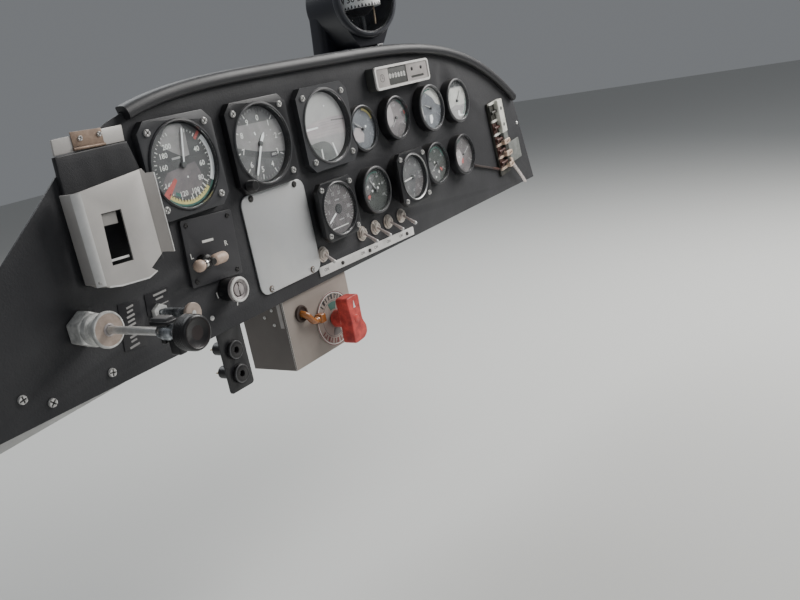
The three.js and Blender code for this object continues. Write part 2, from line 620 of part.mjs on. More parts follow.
function makeFuelBox() {
  const { left, right, top, bottom, back, sheet, lipTop } = BOX;
  const shell = block(left, right, GAP, back, bottom, top)
    .subtract(block(left + sheet, right - sheet, GAP + sheet, back + 1, bottom + sheet, top + 1));
  const lip = block(left + 4, right - 4, GAP, GAP + sheet, top - 4, lipTop);
  const body = join(shell, lip)
    .subtract(bar(SELECTOR.bore, -1, 4, SELECTOR.x, SELECTOR.z, 24))
    .subtract(bar(GROMMET.radius - 1, -1, 4, GROMMET.x, GROMMET.z, 20));
  piece('fuel_box', body, MATERIAL.boxPaint());

  const { half } = HOSE_BOSS;
  const boss = block(HOSE_BOSS.left, HOSE_BOSS.right, HOSE_BOSS.front, -0.5,
    HOSE_BOSS.z - half, HOSE_BOSS.z + half);
  const ring = join(bar(SELECTOR.dial, -1.1, 0, SELECTOR.x, SELECTOR.z, 28), boss)
    .subtract(bar(7, -2, 1, SELECTOR.x, SELECTOR.z, 24));
  piece('selector_ring', ring, MATERIAL.aluminium());

  const valve = join(
    bar(17, 2.2, 34, 0, 0, 20),
    rod([0, 20, -12], [0, 20, -27.5], 5, 5),
    rod([-12, 20, 0], [-38, 20, 0], 5, 5),
  ).subtract(bar(SELECTOR.bore, 0, 26, 0, 0, 24));
  piece('fuel_valve', valve, MATERIAL.zinc(), { x: SELECTOR.x, z: SELECTOR.z });

  const grommet = turned([
    [0, -2.4], [GROMMET.radius + 0.6, -2.4], [GROMMET.radius + 0.6, 0], [GROMMET.radius - 1.4, 0],
    [GROMMET.radius - 1.4, 2.6], [0, 2.6],
  ], 20).subtract(bar(GROMMET.hole, -4, 4, 0, 0, 20));
  piece('hose_grommet', grommet, MATERIAL.rubber(), { x: GROMMET.x, z: GROMMET.z });
  makeFuelHose();
  makeFuelHandle();
}

function makeFuelHose() {
  const { x, z } = GROMMET;
  const route = new THREE.CatmullRomCurve3([
    new THREE.Vector3(x, 16, z),
    new THREE.Vector3(x, 7, z),
    new THREE.Vector3(x, 0, z),
    new THREE.Vector3(x + 2.4, -5.4, z - 3),
    new THREE.Vector3(x + 9, -6, z - 10.6),
    new THREE.Vector3(HOSE_BOSS.left - 2 * GAP, -6, HOSE_BOSS.z),
  ]);
  const section = new THREE.Shape().absarc(0, 0, 3.4, 0, 2 * Math.PI);
  const geometry = new THREE.ExtrudeGeometry(section, { steps: 12, curveSegments: 4, extrudePath: route });
  piece('fuel_hose', solid(geometry), MATERIAL.amber());
}

function makeFuelHandle() {
  const grip = new THREE.Shape();
  grip.moveTo(-10, -21);
  grip.quadraticCurveTo(-11, -24, -7, -24);
  grip.lineTo(8, -23);
  grip.quadraticCurveTo(15, -18, 13, -10);
  grip.lineTo(9.5, -3);
  grip.lineTo(10, 21);
  grip.quadraticCurveTo(10, 24, 7, 24);
  grip.lineTo(-7, 24);
  grip.quadraticCurveTo(-10.5, 24, -10.5, 21);
  const handle = join(
    slab(grip, -30, -15.2, 3),
    turned([
      [0, -16], [9.5, -16], [9.5, -2.6], [SELECTOR.spindle, -2.6], [SELECTOR.spindle, 25], [0, 25],
    ], 20),
  );
  piece('fuel_handle', handle, MATERIAL.red(), { x: SELECTOR.x, z: SELECTOR.z });
}

function makeJackBracket() {
  const { x, upper, lower, width, bottom, lipTop } = JACKS;
  const plate = block(-width / 2, width / 2, GAP, GAP + 1.6, bottom, lipTop);
  const socket = [[0, -3.5], [8, -3.5], [8.6, -2.6], [8.6, GAP + 0.5], [6, GAP + 0.5], [6, 22], [0, 22]];
  let bracket = plate;
  for (const z of [upper, lower]) {
    bracket = bracket.add(turned(socket, 16, 0, z)).subtract(bar(2.6, -6, 14, 0, z, 10));
  }
  piece('jack_bracket', bracket, MATERIAL.zinc(), { x });
}

makePanelSheet();
makeEdgeTrim();
makeLowerStrip();
makeLargeInstruments();
makeSquareInstruments();
makeRoundInstruments();
makeCompass();
makeBlankPlate();
makeHolder();
makeMagnetoSwitch();
makeIgnitionLock();
makeToggles();
makeThrottle();
makePullControl();
makeHourMeter();
makeFuseBlock();
makeFuelBox();
makeJackBracket();

export default panel;
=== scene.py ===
"""Looks of a light aircraft instrument panel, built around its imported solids.

Shapes and the tables they are made from are in millimetres, in the part's own frame: X to the right,
Y forward through the panel, Z up. A piece becomes metres when its mesh is made. Lights and the floor are
in metres. Angles about a centre run clockwise from the top, in degrees."""
import math

import bmesh
import bpy
from mathutils import Matrix, Vector
from mathutils.geometry import tessellate_polygon


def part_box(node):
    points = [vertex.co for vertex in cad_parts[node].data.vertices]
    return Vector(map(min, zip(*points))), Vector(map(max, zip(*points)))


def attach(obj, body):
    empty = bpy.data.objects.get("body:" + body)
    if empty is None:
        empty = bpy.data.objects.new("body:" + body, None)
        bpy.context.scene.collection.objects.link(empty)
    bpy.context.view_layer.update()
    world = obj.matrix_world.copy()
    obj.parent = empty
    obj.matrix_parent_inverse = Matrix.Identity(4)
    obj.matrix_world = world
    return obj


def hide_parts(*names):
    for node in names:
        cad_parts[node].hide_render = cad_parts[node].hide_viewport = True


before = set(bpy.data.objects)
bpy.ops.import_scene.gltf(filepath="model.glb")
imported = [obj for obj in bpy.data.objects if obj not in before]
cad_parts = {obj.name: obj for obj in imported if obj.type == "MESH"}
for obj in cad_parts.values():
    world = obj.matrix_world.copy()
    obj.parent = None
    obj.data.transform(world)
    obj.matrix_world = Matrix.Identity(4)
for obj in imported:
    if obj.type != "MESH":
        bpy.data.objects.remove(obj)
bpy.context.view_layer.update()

METRE = 1000.0          # millimetres in a metre
FACE = -2.5             # y of the panel's front face
SEAT = -2.8             # y where a piece laid on the front face begins
SKIN = 0.15             # how far print stands off what it is printed on

# Camera, at the photograph's place, and the light around it

CAMERA_PLACE = (-698.07, -560.58, 188.15)
CAMERA_AZIMUTH = 0.9371         # radians from Y towards X
CAMERA_ELEVATION = -0.2688      # radians above the horizon
CAMERA_ROLL = -0.1931           # radians about the line of sight
CAMERA_SENSOR = 36
CAMERA_LENS = 38.25

# Lights: name, place, aim, width and height, watts, colour
LIGHTS = [
    ("key", (1.0, -0.68, 0.9), (0.12, 0, 0.08), (1.0, 0.9), 31, (1, 0.985, 0.96)),
    ("fill", (-1.3, -1.7, 1.0), (-0.1, 0, 0.05), (1.6, 1.4), 4, (0.93, 0.96, 1)),
    ("sky", (0.3, 1.2, 1.6), (0, 0, 0.1), (2.2, 1.4), 34, (0.95, 0.98, 1)),
]
WORLD_COLOUR = (0.86, 0.90, 0.95, 1)
WORLD_STRENGTH = 0.21
FLOOR_COLOUR = (0.62, 0.62, 0.60, 1)
FLOOR_ROUGHNESS = 0.9
FLOOR_REACH = 6.0
FLOOR_HEIGHT = -0.32


def metres(*values):
    return Vector(values) / METRE


def add_camera():
    azimuth, elevation = CAMERA_AZIMUTH, CAMERA_ELEVATION
    forward = Vector((math.sin(azimuth) * math.cos(elevation),
                      math.cos(azimuth) * math.cos(elevation), math.sin(elevation)))
    level = Vector((math.cos(azimuth), -math.sin(azimuth), 0))
    above = level.cross(forward)
    right = level * math.cos(CAMERA_ROLL) + above * math.sin(CAMERA_ROLL)
    up = above * math.cos(CAMERA_ROLL) - level * math.sin(CAMERA_ROLL)
    data = bpy.data.cameras.new("camera")
    data.sensor_width = CAMERA_SENSOR
    data.lens = CAMERA_LENS
    data.clip_start = 0.01
    camera = bpy.data.objects.new("camera", data)
    turn = Matrix((right, up, -forward)).transposed().to_4x4()
    camera.matrix_world = Matrix.Translation(metres(*CAMERA_PLACE)) @ turn
    bpy.context.scene.collection.objects.link(camera)
    bpy.context.scene.camera = camera


def add_area_light(name, place, aim, size, power, colour):
    data = bpy.data.lights.new(name, "AREA")
    data.shape = "RECTANGLE"
    data.size, data.size_y = size
    data.energy = power
    data.color = colour
    light = bpy.data.objects.new(name, data)
    light.location = place
    light.rotation_euler = (Vector(aim) - Vector(place)).to_track_quat("-Z", "Y").to_euler()
    bpy.context.scene.collection.objects.link(light)


def add_world():
    world = bpy.data.worlds.new("studio")
    world.use_nodes = True
    background = world.node_tree.nodes["Background"]
    background.inputs["Color"].default_value = WORLD_COLOUR
    background.inputs["Strength"].default_value = WORLD_STRENGTH
    bpy.context.scene.world = world


def add_floor():
    mesh = bpy.data.meshes.new("floor")
    corners = [(x * FLOOR_REACH, y * FLOOR_REACH, FLOOR_HEIGHT)
               for x, y in ((-1, -1), (1, -1), (1, 1), (-1, 1))]
    mesh.from_pydata(corners, [], [(0, 1, 2, 3)])
    floor = bpy.data.objects.new("floor", mesh)
    bpy.context.scene.collection.objects.link(floor)
    material = bpy.data.materials.new("pale_floor")
    material.use_nodes = True
    surface = material.node_tree.nodes["Principled BSDF"]
    surface.inputs["Base Color"].default_value = FLOOR_COLOUR
    surface.inputs["Roughness"].default_value = FLOOR_ROUGHNESS
    mesh.materials.append(material)


add_camera()
add_world()
for light_row in LIGHTS:
    add_area_light(*light_row)
add_floor()

# Shader helpers. A value is a number, a colour or another node's output socket.


def node(tree, kind, values=None, **settings):
    made = tree.nodes.new(kind)
    for key, value in settings.items():
        setattr(made, key, value)
    for key, value in (values or {}).items():
        if isinstance(value, bpy.types.NodeSocket):
            tree.links.new(value, made.inputs[key])
        else:
            made.inputs[key].default_value = value
    return made


def rgba(colour):
    return (*colour, 1.0)


def blended(tree, factor, first, second):
    mix = node(tree, "ShaderNodeMix", data_type="RGBA")
    for index, value in ((0, factor), (6, first), (7, second)):
        if isinstance(value, bpy.types.NodeSocket):
            tree.links.new(value, mix.inputs[index])
        else:
            mix.inputs[index].default_value = value
    return mix.outputs[2]


def arithmetic(tree, operation, first, second=0.5, clamp=False):
    return node(tree, "ShaderNodeMath", {0: first, 1: second}, operation=operation,
                use_clamp=clamp).outputs[0]


def ranged(tree, value, low, high, to_low=0.0, to_high=1.0):
    values = {"Value": value, "From Min": low, "From Max": high, "To Min": to_low, "To Max": to_high}
    return node(tree, "ShaderNodeMapRange", values).outputs["Result"]


def noise(tree, place, size, detail, roughness=0.5):
    values = {"Vector": place, "Scale": size, "Detail": detail, "Roughness": roughness}
    return node(tree, "ShaderNodeTexNoise", values).outputs["Fac"]


def new_group(name, inputs, output):
    """An empty node group with one output; inputs are name to default value."""
    group = bpy.data.node_groups.new(name, "ShaderNodeTree")
    for label, value in inputs.items():
        socket = group.interface.new_socket(name=label, in_out="INPUT", socket_type="NodeSocketFloat")
        socket.default_value = value
    group.interface.new_socket(name=output, in_out="OUTPUT", socket_type="NodeSocketFloat")
    start = group.nodes.new("NodeGroupInput")
    end = group.nodes.new("NodeGroupOutput")
    place = node(group, "ShaderNodeTexCoord").outputs["Object"]
    return group, start.outputs, end.inputs[output], place


def make_mottle_group():
    """Slow uneven patches, as in handled paint and cast plastic."""
    group, given, out, place = new_group("mottle", {"Size": 30.0, "Contrast": 1.0}, "Mask")
    broad = noise(group, place, given["Size"], 6.0, roughness=0.62)
    centred = arithmetic(group, "SUBTRACT", broad, 0.5)
    scaled = arithmetic(group, "MULTIPLY", centred, given["Contrast"])
    group.links.new(arithmetic(group, "ADD", scaled, 0.5, clamp=True), out)
    return group


def make_wear_group():
    """Rubbed edges: wherever the surface turns sharply, broken up by noise."""
    inputs = {"Amount": 0.5, "Size": 220.0, "Reach": 0.0005}
    group, given, out, place = new_group("edge_wear", inputs, "Mask")
    eased = node(group, "ShaderNodeBevel", {"Radius": given["Reach"]}, samples=4).outputs[0]
    plain = node(group, "ShaderNodeNewGeometry").outputs["Normal"]
    agreement = node(group, "ShaderNodeVectorMath", {0: eased, 1: plain}, operation="DOT_PRODUCT")
    edge = ranged(group, agreement.outputs["Value"], 0.985, 0.86)
    broken = ranged(group, noise(group, place, given["Size"], 5.0), 0.40, 0.60)
    mask = arithmetic(group, "MULTIPLY", edge, broken)
    group.links.new(arithmetic(group, "MULTIPLY", mask, given["Amount"], clamp=True), out)
    return group


def make_dust_group():
    """Dust that has settled on whatever faces up."""
    group, given, out, place = new_group("settled_dust", {"Amount": 0.3, "Size": 90.0}, "Mask")
    normal = node(group, "ShaderNodeNewGeometry").outputs["Normal"]
    upward = node(group, "ShaderNodeSeparateXYZ", {0: normal}).outputs["Z"]
    facing = ranged(group, upward, 0.15, 0.95)
    loose = ranged(group, noise(group, place, given["Size"], 7.0), 0.30, 0.75)
    mask = arithmetic(group, "MULTIPLY", facing, loose)
    group.links.new(arithmetic(group, "MULTIPLY", mask, given["Amount"], clamp=True), out)
    return group


def make_grain_group():
    """Fine height for moulded and sprayed surfaces, with scratches that run along X."""
    inputs = {"Size": 900.0, "Grain": 1.0, "Scratches": 0.0}
    group, given, out, place = new_group("grain", inputs, "Height")
    fine = noise(group, place, given["Size"], 3.0)
    drawn = node(group, "ShaderNodeMapping", {"Vector": place, "Scale": (12.0, 900.0, 900.0)})
    lines = noise(group, drawn.outputs[0], 1.0, 4.0)
    first = arithmetic(group, "MULTIPLY", fine, given["Grain"])
    second = arithmetic(group, "MULTIPLY", lines, given["Scratches"])
    group.links.new(arithmetic(group, "ADD", first, second), out)
    return group


MOTTLE = make_mottle_group()
WEAR = make_wear_group()
DUST = make_dust_group()
GRAIN = make_grain_group()


DARKER = 0.72                       # a finish's second tone against its first, where none is given
ROUGHER, SMOOTHER = 1.15, 0.85      # how rough its dark and its light patches are, against what is given
EDGE_METAL = (0.55, 0.54, 0.52)     # what shows where paint has rubbed off
DUST_GREY = (0.30, 0.28, 0.25)
DUST_ROUGHNESS = 0.9


def use(tree, group, **values):
    placed = tree.nodes.new("ShaderNodeGroup")
    placed.node_tree = group
    for label, value in values.items():
        placed.inputs[label].default_value = value
    return placed.outputs[0]


def finish(name, colour, rough, metal=0.0, deep=None, mottle=(30.0, 1.4), under=None, wear=0.0,
           dust=0.0, grain=(900.0, 0.05), scratches=0.0, coat=0.0, sheen=0.0, dust_colour=DUST_GREY):
    """A surface of one colour that drifts towards deep, worn to under at its edges, dusty on top.
    mottle is (size, contrast) and grain is (size, depth in millimetres)."""
    material = bpy.data.materials.new(name)
    material.use_nodes = True
    tree = material.node_tree
    surface = tree.nodes["Principled BSDF"]
    patches = use(tree, MOTTLE, Size=mottle[0], Contrast=mottle[1])
    dark = deep or tuple(DARKER * c for c in colour)
    tone = blended(tree, patches, rgba(dark), rgba(colour))
    roughness = ranged(tree, patches, 0.0, 1.0, min(1.0, rough * ROUGHER), rough * SMOOTHER)
    surface.inputs["Metallic"].default_value = metal
    if wear:
        worn = use(tree, WEAR, Amount=wear)
        tone = blended(tree, worn, tone, rgba(under or EDGE_METAL))
        if under is None and metal < 0.5:
            tree.links.new(ranged(tree, worn, 0.0, 1.0, metal, 0.9), surface.inputs["Metallic"])
    if dust:
        film = use(tree, DUST, Amount=dust)
        tone = blended(tree, film, tone, rgba(dust_colour))
        film_roughness = arithmetic(tree, "MULTIPLY", film, DUST_ROUGHNESS)
        roughness = arithmetic(tree, "MAXIMUM", roughness, film_roughness)
    tree.links.new(tone, surface.inputs["Base Color"])
    tree.links.new(roughness, surface.inputs["Roughness"])
    height = use(tree, GRAIN, Size=grain[0], Grain=1.0, Scratches=scratches)
    bump = node(tree, "ShaderNodeBump", {"Height": height, "Strength": 1.0, "Distance": grain[1] / METRE})
    tree.links.new(bump.outputs[0], surface.inputs["Normal"])
    surface.inputs["Coat Weight"].default_value = coat
    surface.inputs["Sheen Weight"].default_value = sheen
    return material


def dial_finish(name, colour, deep, mottle, rough=0.5):
    """The matt paint of a dial, faded unevenly."""
    return finish(name, colour, rough, deep=deep, mottle=mottle, grain=(2200, 0.004))


def ink(name, colour, mottle, rough=0.5, deep=None):
    """Printing, on a dial or on a label."""
    return finish(name, colour, rough, deep=deep, mottle=mottle, grain=(2500, 0.004))


def make_glass(name):
    """Clear window glass. Light for shadows passes straight through it."""
    material = bpy.data.materials.new(name)
    material.use_nodes = True
    tree = material.node_tree
    surface = tree.nodes["Principled BSDF"]
    surface.inputs["Base Color"].default_value = (0.97, 0.99, 1, 1)
    surface.inputs["Metallic"].default_value = 0.0
    surface.inputs["Transmission Weight"].default_value = 1.0
    surface.inputs["IOR"].default_value = 1.24
    surface.inputs["Roughness"].default_value = 0.02
    clear = node(tree, "ShaderNodeBsdfTransparent", {"Color": (0.97, 0.98, 0.98, 1)})
    shadow = node(tree, "ShaderNodeLightPath").outputs["Is Shadow Ray"]
    mix = node(tree, "ShaderNodeMixShader", {0: shadow, 1: surface.outputs[0], 2: clear.outputs[0]})
    tree.links.new(mix.outputs[0], tree.nodes["Material Output"].inputs["Surface"])
    return material


# Finishes

# Panel, cases and compass
PANEL_PAINT = finish("charcoal_panel_paint", (0.034, 0.034, 0.037), 0.58, deep=(0.018, 0.018, 0.021),
                     mottle=(9, 2.6), dust=0.10, grain=(620, 0.22), dust_colour=(0.21, 0.19, 0.17))
BARE_SHEET = finish("bare_sheet_metal", (0.56, 0.56, 0.55), 0.42, 0.9, deep=(0.36, 0.36, 0.36),
                    mottle=(25, 2.0), grain=(700, 0.02), scratches=0.6)
TRIM_RUBBER = finish("edge_trim_rubber", (0.020, 0.020, 0.023), 0.48, mottle=(14, 1.6), dust=0.22,
                     grain=(1600, 0.06), dust_colour=(0.20, 0.20, 0.20))
CASE_BLACK = finish("instrument_case_black", (0.012, 0.012, 0.014), 0.36, wear=0.35,
                    under=(0.13, 0.13, 0.14), dust=0.12, grain=(1500, 0.03))
# Grey for real grey parts, and for rims and lips where it stands in for the sheen of light on black: painted
# highlight.
GREY_CASE_AND_SHEEN = finish("worn_grey_case_and_painted_sheen", (0.085, 0.085, 0.088), 0.34, deep=(0.045, 0.045, 0.047),
                   mottle=(60, 2.2), wear=0.6, under=(0.30, 0.30, 0.31), grain=(1500, 0.02), dust=0.1)
CASE_SLATE = finish("slate_case", (0.042, 0.043, 0.047), 0.44, deep=(0.026, 0.026, 0.029),
                    mottle=(30, 2.2), wear=0.5, under=(0.20, 0.20, 0.21), dust=0.12, grain=(1200, 0.03))
RIM_BLACK = finish("instrument_rim_black", (0.016, 0.016, 0.019), 0.30, wear=0.5, under=(0.20, 0.20, 0.21),
                   dust=0.10, grain=(1800, 0.01))
CAN_BLACK = finish("instrument_can_black", (0.026, 0.026, 0.028), 0.5, mottle=(20, 2), dust=0.3,
                   grain=(900, 0.06), wear=0.4)
PLATE_SLATE = finish("slate_plate", (0.038, 0.037, 0.041), 0.44, deep=(0.023, 0.023, 0.026),
                     mottle=(30, 2.2), dust=0.05, grain=(900, 0.05))
COMPASS_SHELL = finish("compass_shell_black", (0.017, 0.018, 0.026), 0.38, mottle=(12, 1.4), dust=0.05,
                       grain=(900, 0.04))
COMPASS_BAND = finish("compass_band_grey", (0.055, 0.057, 0.068), 0.34, grain=(1200, 0.02), wear=0.35)
LUBBER_GOLD = finish("lubber_line_gold", (0.30, 0.22, 0.145), 0.4, deep=(0.16, 0.11, 0.07),
                     mottle=(120, 2.2), grain=(1300, 0.02))

# Dials
DIAL_BLACK = dial_finish("dial_black", (0.036, 0.036, 0.036), (0.018, 0.018, 0.019), (60, 1.8), 0.55)
DIAL_GREY = dial_finish("dial_faded_grey", (0.128, 0.124, 0.123), (0.080, 0.079, 0.080), (90, 2.6))
DIAL_BROWN = dial_finish("dial_pinkish_brown", (0.135, 0.119, 0.118), (0.078, 0.070, 0.071), (130, 3.0))
DIAL_GREEN = dial_finish("dial_green_grey", (0.060, 0.064, 0.058), (0.026, 0.030, 0.027), (110, 2.8))
DIAL_BLUSH = dial_finish("dial_pinkish_grey", (0.195, 0.170, 0.170), (0.110, 0.098, 0.102), (60, 3.0))
DIAL_SKY = dial_finish("dial_bluish_grey", (0.155, 0.160, 0.172), (0.090, 0.094, 0.106), (60, 3.0))
# Pale dial: a painted reflection of the glass, over the turn indicator's face and a patch of gauge_3.
DIAL_PALE_REFLECTION = dial_finish("dial_pale_painted_reflection", (0.41, 0.40, 0.388), (0.33, 0.318, 0.312), (28, 2.4), 0.45)
# White dial patches: painted reflections of the glass.
DIAL_WHITE_REFLECTION = dial_finish("dial_white_painted_reflection", (0.50, 0.49, 0.455), (0.40, 0.39, 0.365), (40, 2.0), 0.45)
DIAL_SLATE = dial_finish("dial_slate", (0.082, 0.081, 0.081), (0.058, 0.058, 0.058), (60, 2.0))
# Hazy dial patches: painted reflections of the glass.
DIAL_HAZE_REFLECTION = dial_finish("dial_hazy_painted_reflection", (0.280, 0.265, 0.260), (0.195, 0.186, 0.183), (70, 2.6))
DIAL_PINK = dial_finish("dial_pale_pink", (0.43, 0.38, 0.378), (0.33, 0.295, 0.295), (50, 2.2))
DIAL_DUSK = dial_finish("dial_dusky_grey", (0.345, 0.328, 0.322), (0.26, 0.248, 0.245), (50, 2.2))
DIAL_SHADE = dial_finish("dial_shaded_grey", (0.150, 0.153, 0.147), (0.105, 0.108, 0.104), (50, 2.2))

# Printing
PRINT_IVORY = ink("print_ivory", (0.80, 0.79, 0.75), (200, 1.2))
PRINT_FADED = ink("print_faded", (0.40, 0.39, 0.38), (200, 1.2))
PRINT_WHITE = ink("print_white", (0.92, 0.92, 0.91), (200, 0.6), 0.4)
PRINT_YELLOW = ink("print_yellow", (0.66, 0.57, 0.20), (150, 2.2), deep=(0.46, 0.40, 0.17))
PRINT_GREEN = ink("print_green", (0.055, 0.16, 0.13), (150, 1.8))
PRINT_RED = ink("print_red", (0.52, 0.11, 0.095), (150, 1.8))
PRINT_DARK = ink("print_dark", (0.030, 0.028, 0.03), (200, 1.5))
PRINT_GREY = ink("print_grey", (0.165, 0.158, 0.152), (200, 1.4))
PRINT_MAROON = ink("print_maroon", (0.20, 0.055, 0.05), (200, 2.2))

# Screws and metal
BRIGHT_SCREW = finish("bright_screw", (0.84, 0.83, 0.81), 0.32, 0.55, deep=(0.52, 0.51, 0.49),
                      mottle=(160, 2.2), grain=(1500, 0.02))
DARK_SCREW = finish("dark_screw", (0.045, 0.043, 0.042), 0.4, 0.6, mottle=(200, 2.0), wear=0.6,
                    grain=(1500, 0.02))
BLACK_SCREW = finish("black_screw", (0.020, 0.019, 0.019), 0.4, 0.3, mottle=(200, 2.0), wear=0.3,
                     under=(0.15, 0.14, 0.14), grain=(1500, 0.02))
RUSTY_STEEL = finish("rusty_steel", (0.15, 0.095, 0.062), 0.62, 0.35, deep=(0.070, 0.040, 0.026),
                     mottle=(70, 3.0), grain=(800, 0.10))
ZINC = finish("zinc_plate", (0.86, 0.86, 0.83), 0.36, 0.25, deep=(0.42, 0.42, 0.405), mottle=(95, 3.4),
              grain=(1100, 0.05), wear=0.6, under=(0.92, 0.91, 0.88))
HUB_METAL = finish("bluish_hub_metal", (0.62, 0.65, 0.68), 0.30, 0.8, deep=(0.13, 0.14, 0.15),
                   mottle=(170, 3.6), grain=(800, 0.08))
CHROME = finish("worn_chrome", (0.84, 0.84, 0.82), 0.20, 0.8, deep=(0.56, 0.56, 0.55), mottle=(110, 2.0),
                grain=(1500, 0.01))
BRASS = finish("tarnished_brass", (0.46, 0.34, 0.16), 0.4, 0.9, deep=(0.25, 0.18, 0.09), mottle=(90, 2.4),
               grain=(1200, 0.02))
NUT_BRASS = finish("warm_nickel_nut", (0.78, 0.72, 0.66), 0.32, 0.45, deep=(0.42, 0.37, 0.32),
                   mottle=(170, 3.0), grain=(1200, 0.03))
ROSE_METAL = finish("rose_tinted_metal", (0.80, 0.72, 0.69), 0.28, 0.4, deep=(0.48, 0.41, 0.39),
                    mottle=(130, 2.6), grain=(1500, 0.02))
LOCK_GREY = finish("blush_grey_cast", (0.50, 0.455, 0.445), 0.42, 0.15, deep=(0.30, 0.270, 0.268),
                   mottle=(120, 2.6), grain=(1000, 0.04), wear=0.5, under=(0.70, 0.67, 0.66))
GREY_CLIP = finish("grey_green_clip", (0.30, 0.31, 0.29), 0.45, 0.3, deep=(0.17, 0.175, 0.165),
                   mottle=(90, 2.6), grain=(1000, 0.05), wear=0.7)
COPPER_BROWN = finish("tarnished_contact", (0.095, 0.034, 0.024), 0.5, 0.2, deep=(0.035, 0.016, 0.013),
                      mottle=(220, 2.6), grain=(1300, 0.03))
HINGE_BROWN = finish("worn_brown_steel", (0.33, 0.235, 0.175), 0.5, 0.3, deep=(0.15, 0.10, 0.07),
                     mottle=(80, 3.0), grain=(800, 0.08), wear=0.4, under=(0.52, 0.42, 0.35))
SATIN_PLATE = finish("satin_aluminium_plate", (0.66, 0.655, 0.64), 0.40, 0.62, deep=(0.545, 0.555, 0.565),
                     mottle=(11, 2.4), grain=(1700, 0.03), scratches=0.15)

# Device holder
HOLDER_SHEET = finish("holder_painted_sheet", (0.60, 0.575, 0.545), 0.42, 0.25, deep=(0.46, 0.44, 0.425),
                      mottle=(14, 2.4), grain=(900, 0.03), wear=0.6, dust=0.08, scratches=0.5)
# Bright sheet: rubbed bare edges, and painted highlights along bends and edges.
HOLDER_RUBBED_AND_HIGHLIGHT = finish("rubbed_sheet_and_painted_highlight", (0.88, 0.87, 0.85), 0.36, 0.2, deep=(0.70, 0.69, 0.67),
                       mottle=(60, 2.4), grain=(900, 0.03))
# The holder's sheet, darker: painted shade on the fold that turns away from the light.
HOLDER_PAINTED_SHADE = finish("holder_fold_painted_shade", (0.215, 0.203, 0.193), 0.45, 0.2, deep=(0.160, 0.150, 0.143),
                      mottle=(20, 2.4), grain=(900, 0.03), wear=0.5, scratches=0.4)
BLACK_VINYL = finish("black_vinyl", (0.014, 0.014, 0.017), 0.5, mottle=(25, 2), grain=(1300, 0.16),
                     dust=0.08, sheen=0.05)
GREY_CARD = finish("pale_grey_card", (0.36, 0.345, 0.325), 0.5, deep=(0.26, 0.25, 0.24), mottle=(70, 2.0),
                   grain=(1500, 0.02))

# Controls, labels and hour meter
BLUSH_PLASTIC = finish("blush_plastic", (0.66, 0.50, 0.40), 0.45, deep=(0.45, 0.32, 0.245),
                       mottle=(160, 2.2), grain=(1300, 0.03), wear=0.4, under=(0.74, 0.66, 0.58))
BLUSH_DISC = finish("blush_disc", (0.50, 0.405, 0.345), 0.36, 0.15, deep=(0.34, 0.270, 0.225),
                    mottle=(150, 2.8), grain=(900, 0.05), wear=0.7, under=(0.78, 0.73, 0.68))
KNOB_BLACK = finish("knob_black", (0.012, 0.011, 0.012), 0.34, mottle=(70, 2), grain=(1200, 0.03),
                    wear=0.4, under=(0.10, 0.095, 0.095))
KNOB_FACE = finish("knob_face_maroon", (0.020, 0.010, 0.010), 0.62, mottle=(50, 2), grain=(1000, 0.03))
HANDLE_RED = finish("worn_red_plastic", (0.78, 0.088, 0.070), 0.42, deep=(0.36, 0.033, 0.030),
                    mottle=(95, 3), grain=(1200, 0.05), wear=0.8, under=(0.86, 0.42, 0.36))
STRIP_WHITE = finish("label_strip_white", (0.80, 0.785, 0.76), 0.45, deep=(0.62, 0.61, 0.59),
                     mottle=(90, 2.2), grain=(1300, 0.03))
LABEL_TAPE = finish("black_label_tape", (0.022, 0.021, 0.024), 0.35, mottle=(60, 2), grain=(1500, 0.03))
METER_IVORY = finish("meter_rim_ivory", (0.80, 0.785, 0.75), 0.42, deep=(0.62, 0.60, 0.575),
                     mottle=(80, 2.2), grain=(1300, 0.03), wear=0.5, under=(0.88, 0.86, 0.84))
METER_FACE = finish("meter_face_grey", (0.42, 0.392, 0.375), 0.45, deep=(0.30, 0.278, 0.268),
                    mottle=(55, 2.6), grain=(1300, 0.04))
METER_DRUM = finish("meter_drum_grey", (0.46, 0.46, 0.445), 0.45, deep=(0.30, 0.30, 0.29),
                    mottle=(120, 2.2), grain=(1300, 0.02))
METER_SIDE = finish("meter_case_side", (0.085, 0.086, 0.080), 0.45, deep=(0.045, 0.046, 0.043),
                    mottle=(60, 2.2), grain=(1300, 0.03))

# Fuse block and fuel box
FUSE_IVORY = finish("mottled_fuse_ivory", (0.88, 0.86, 0.79), 0.42, deep=(0.50, 0.50, 0.43),
                    mottle=(62, 4.0), grain=(1300, 0.05), wear=0.5, under=(0.92, 0.89, 0.84))
FUSE_DARK = finish("fuse_base_dark", (0.055, 0.050, 0.042), 0.5, deep=(0.018, 0.020, 0.016),
                   mottle=(120, 2.6), grain=(1300, 0.05))
FUSE_LOBE = finish("fuse_terminal_beige", (0.78, 0.61, 0.48), 0.40, 0.2, deep=(0.42, 0.30, 0.23),
                   mottle=(140, 3.2), grain=(1300, 0.04), wear=0.5, under=(0.88, 0.80, 0.72))
BROWN_WIRE = finish("brown_wire", (0.034, 0.019, 0.016), 0.5, mottle=(150, 2), grain=(1500, 0.03))
BOX_PAINT = finish("box_beige_paint", (0.355, 0.305, 0.268), 0.5, deep=(0.275, 0.237, 0.208),
                   mottle=(15, 2.2), wear=0.5, under=(0.50, 0.47, 0.43), grain=(1100, 0.04))
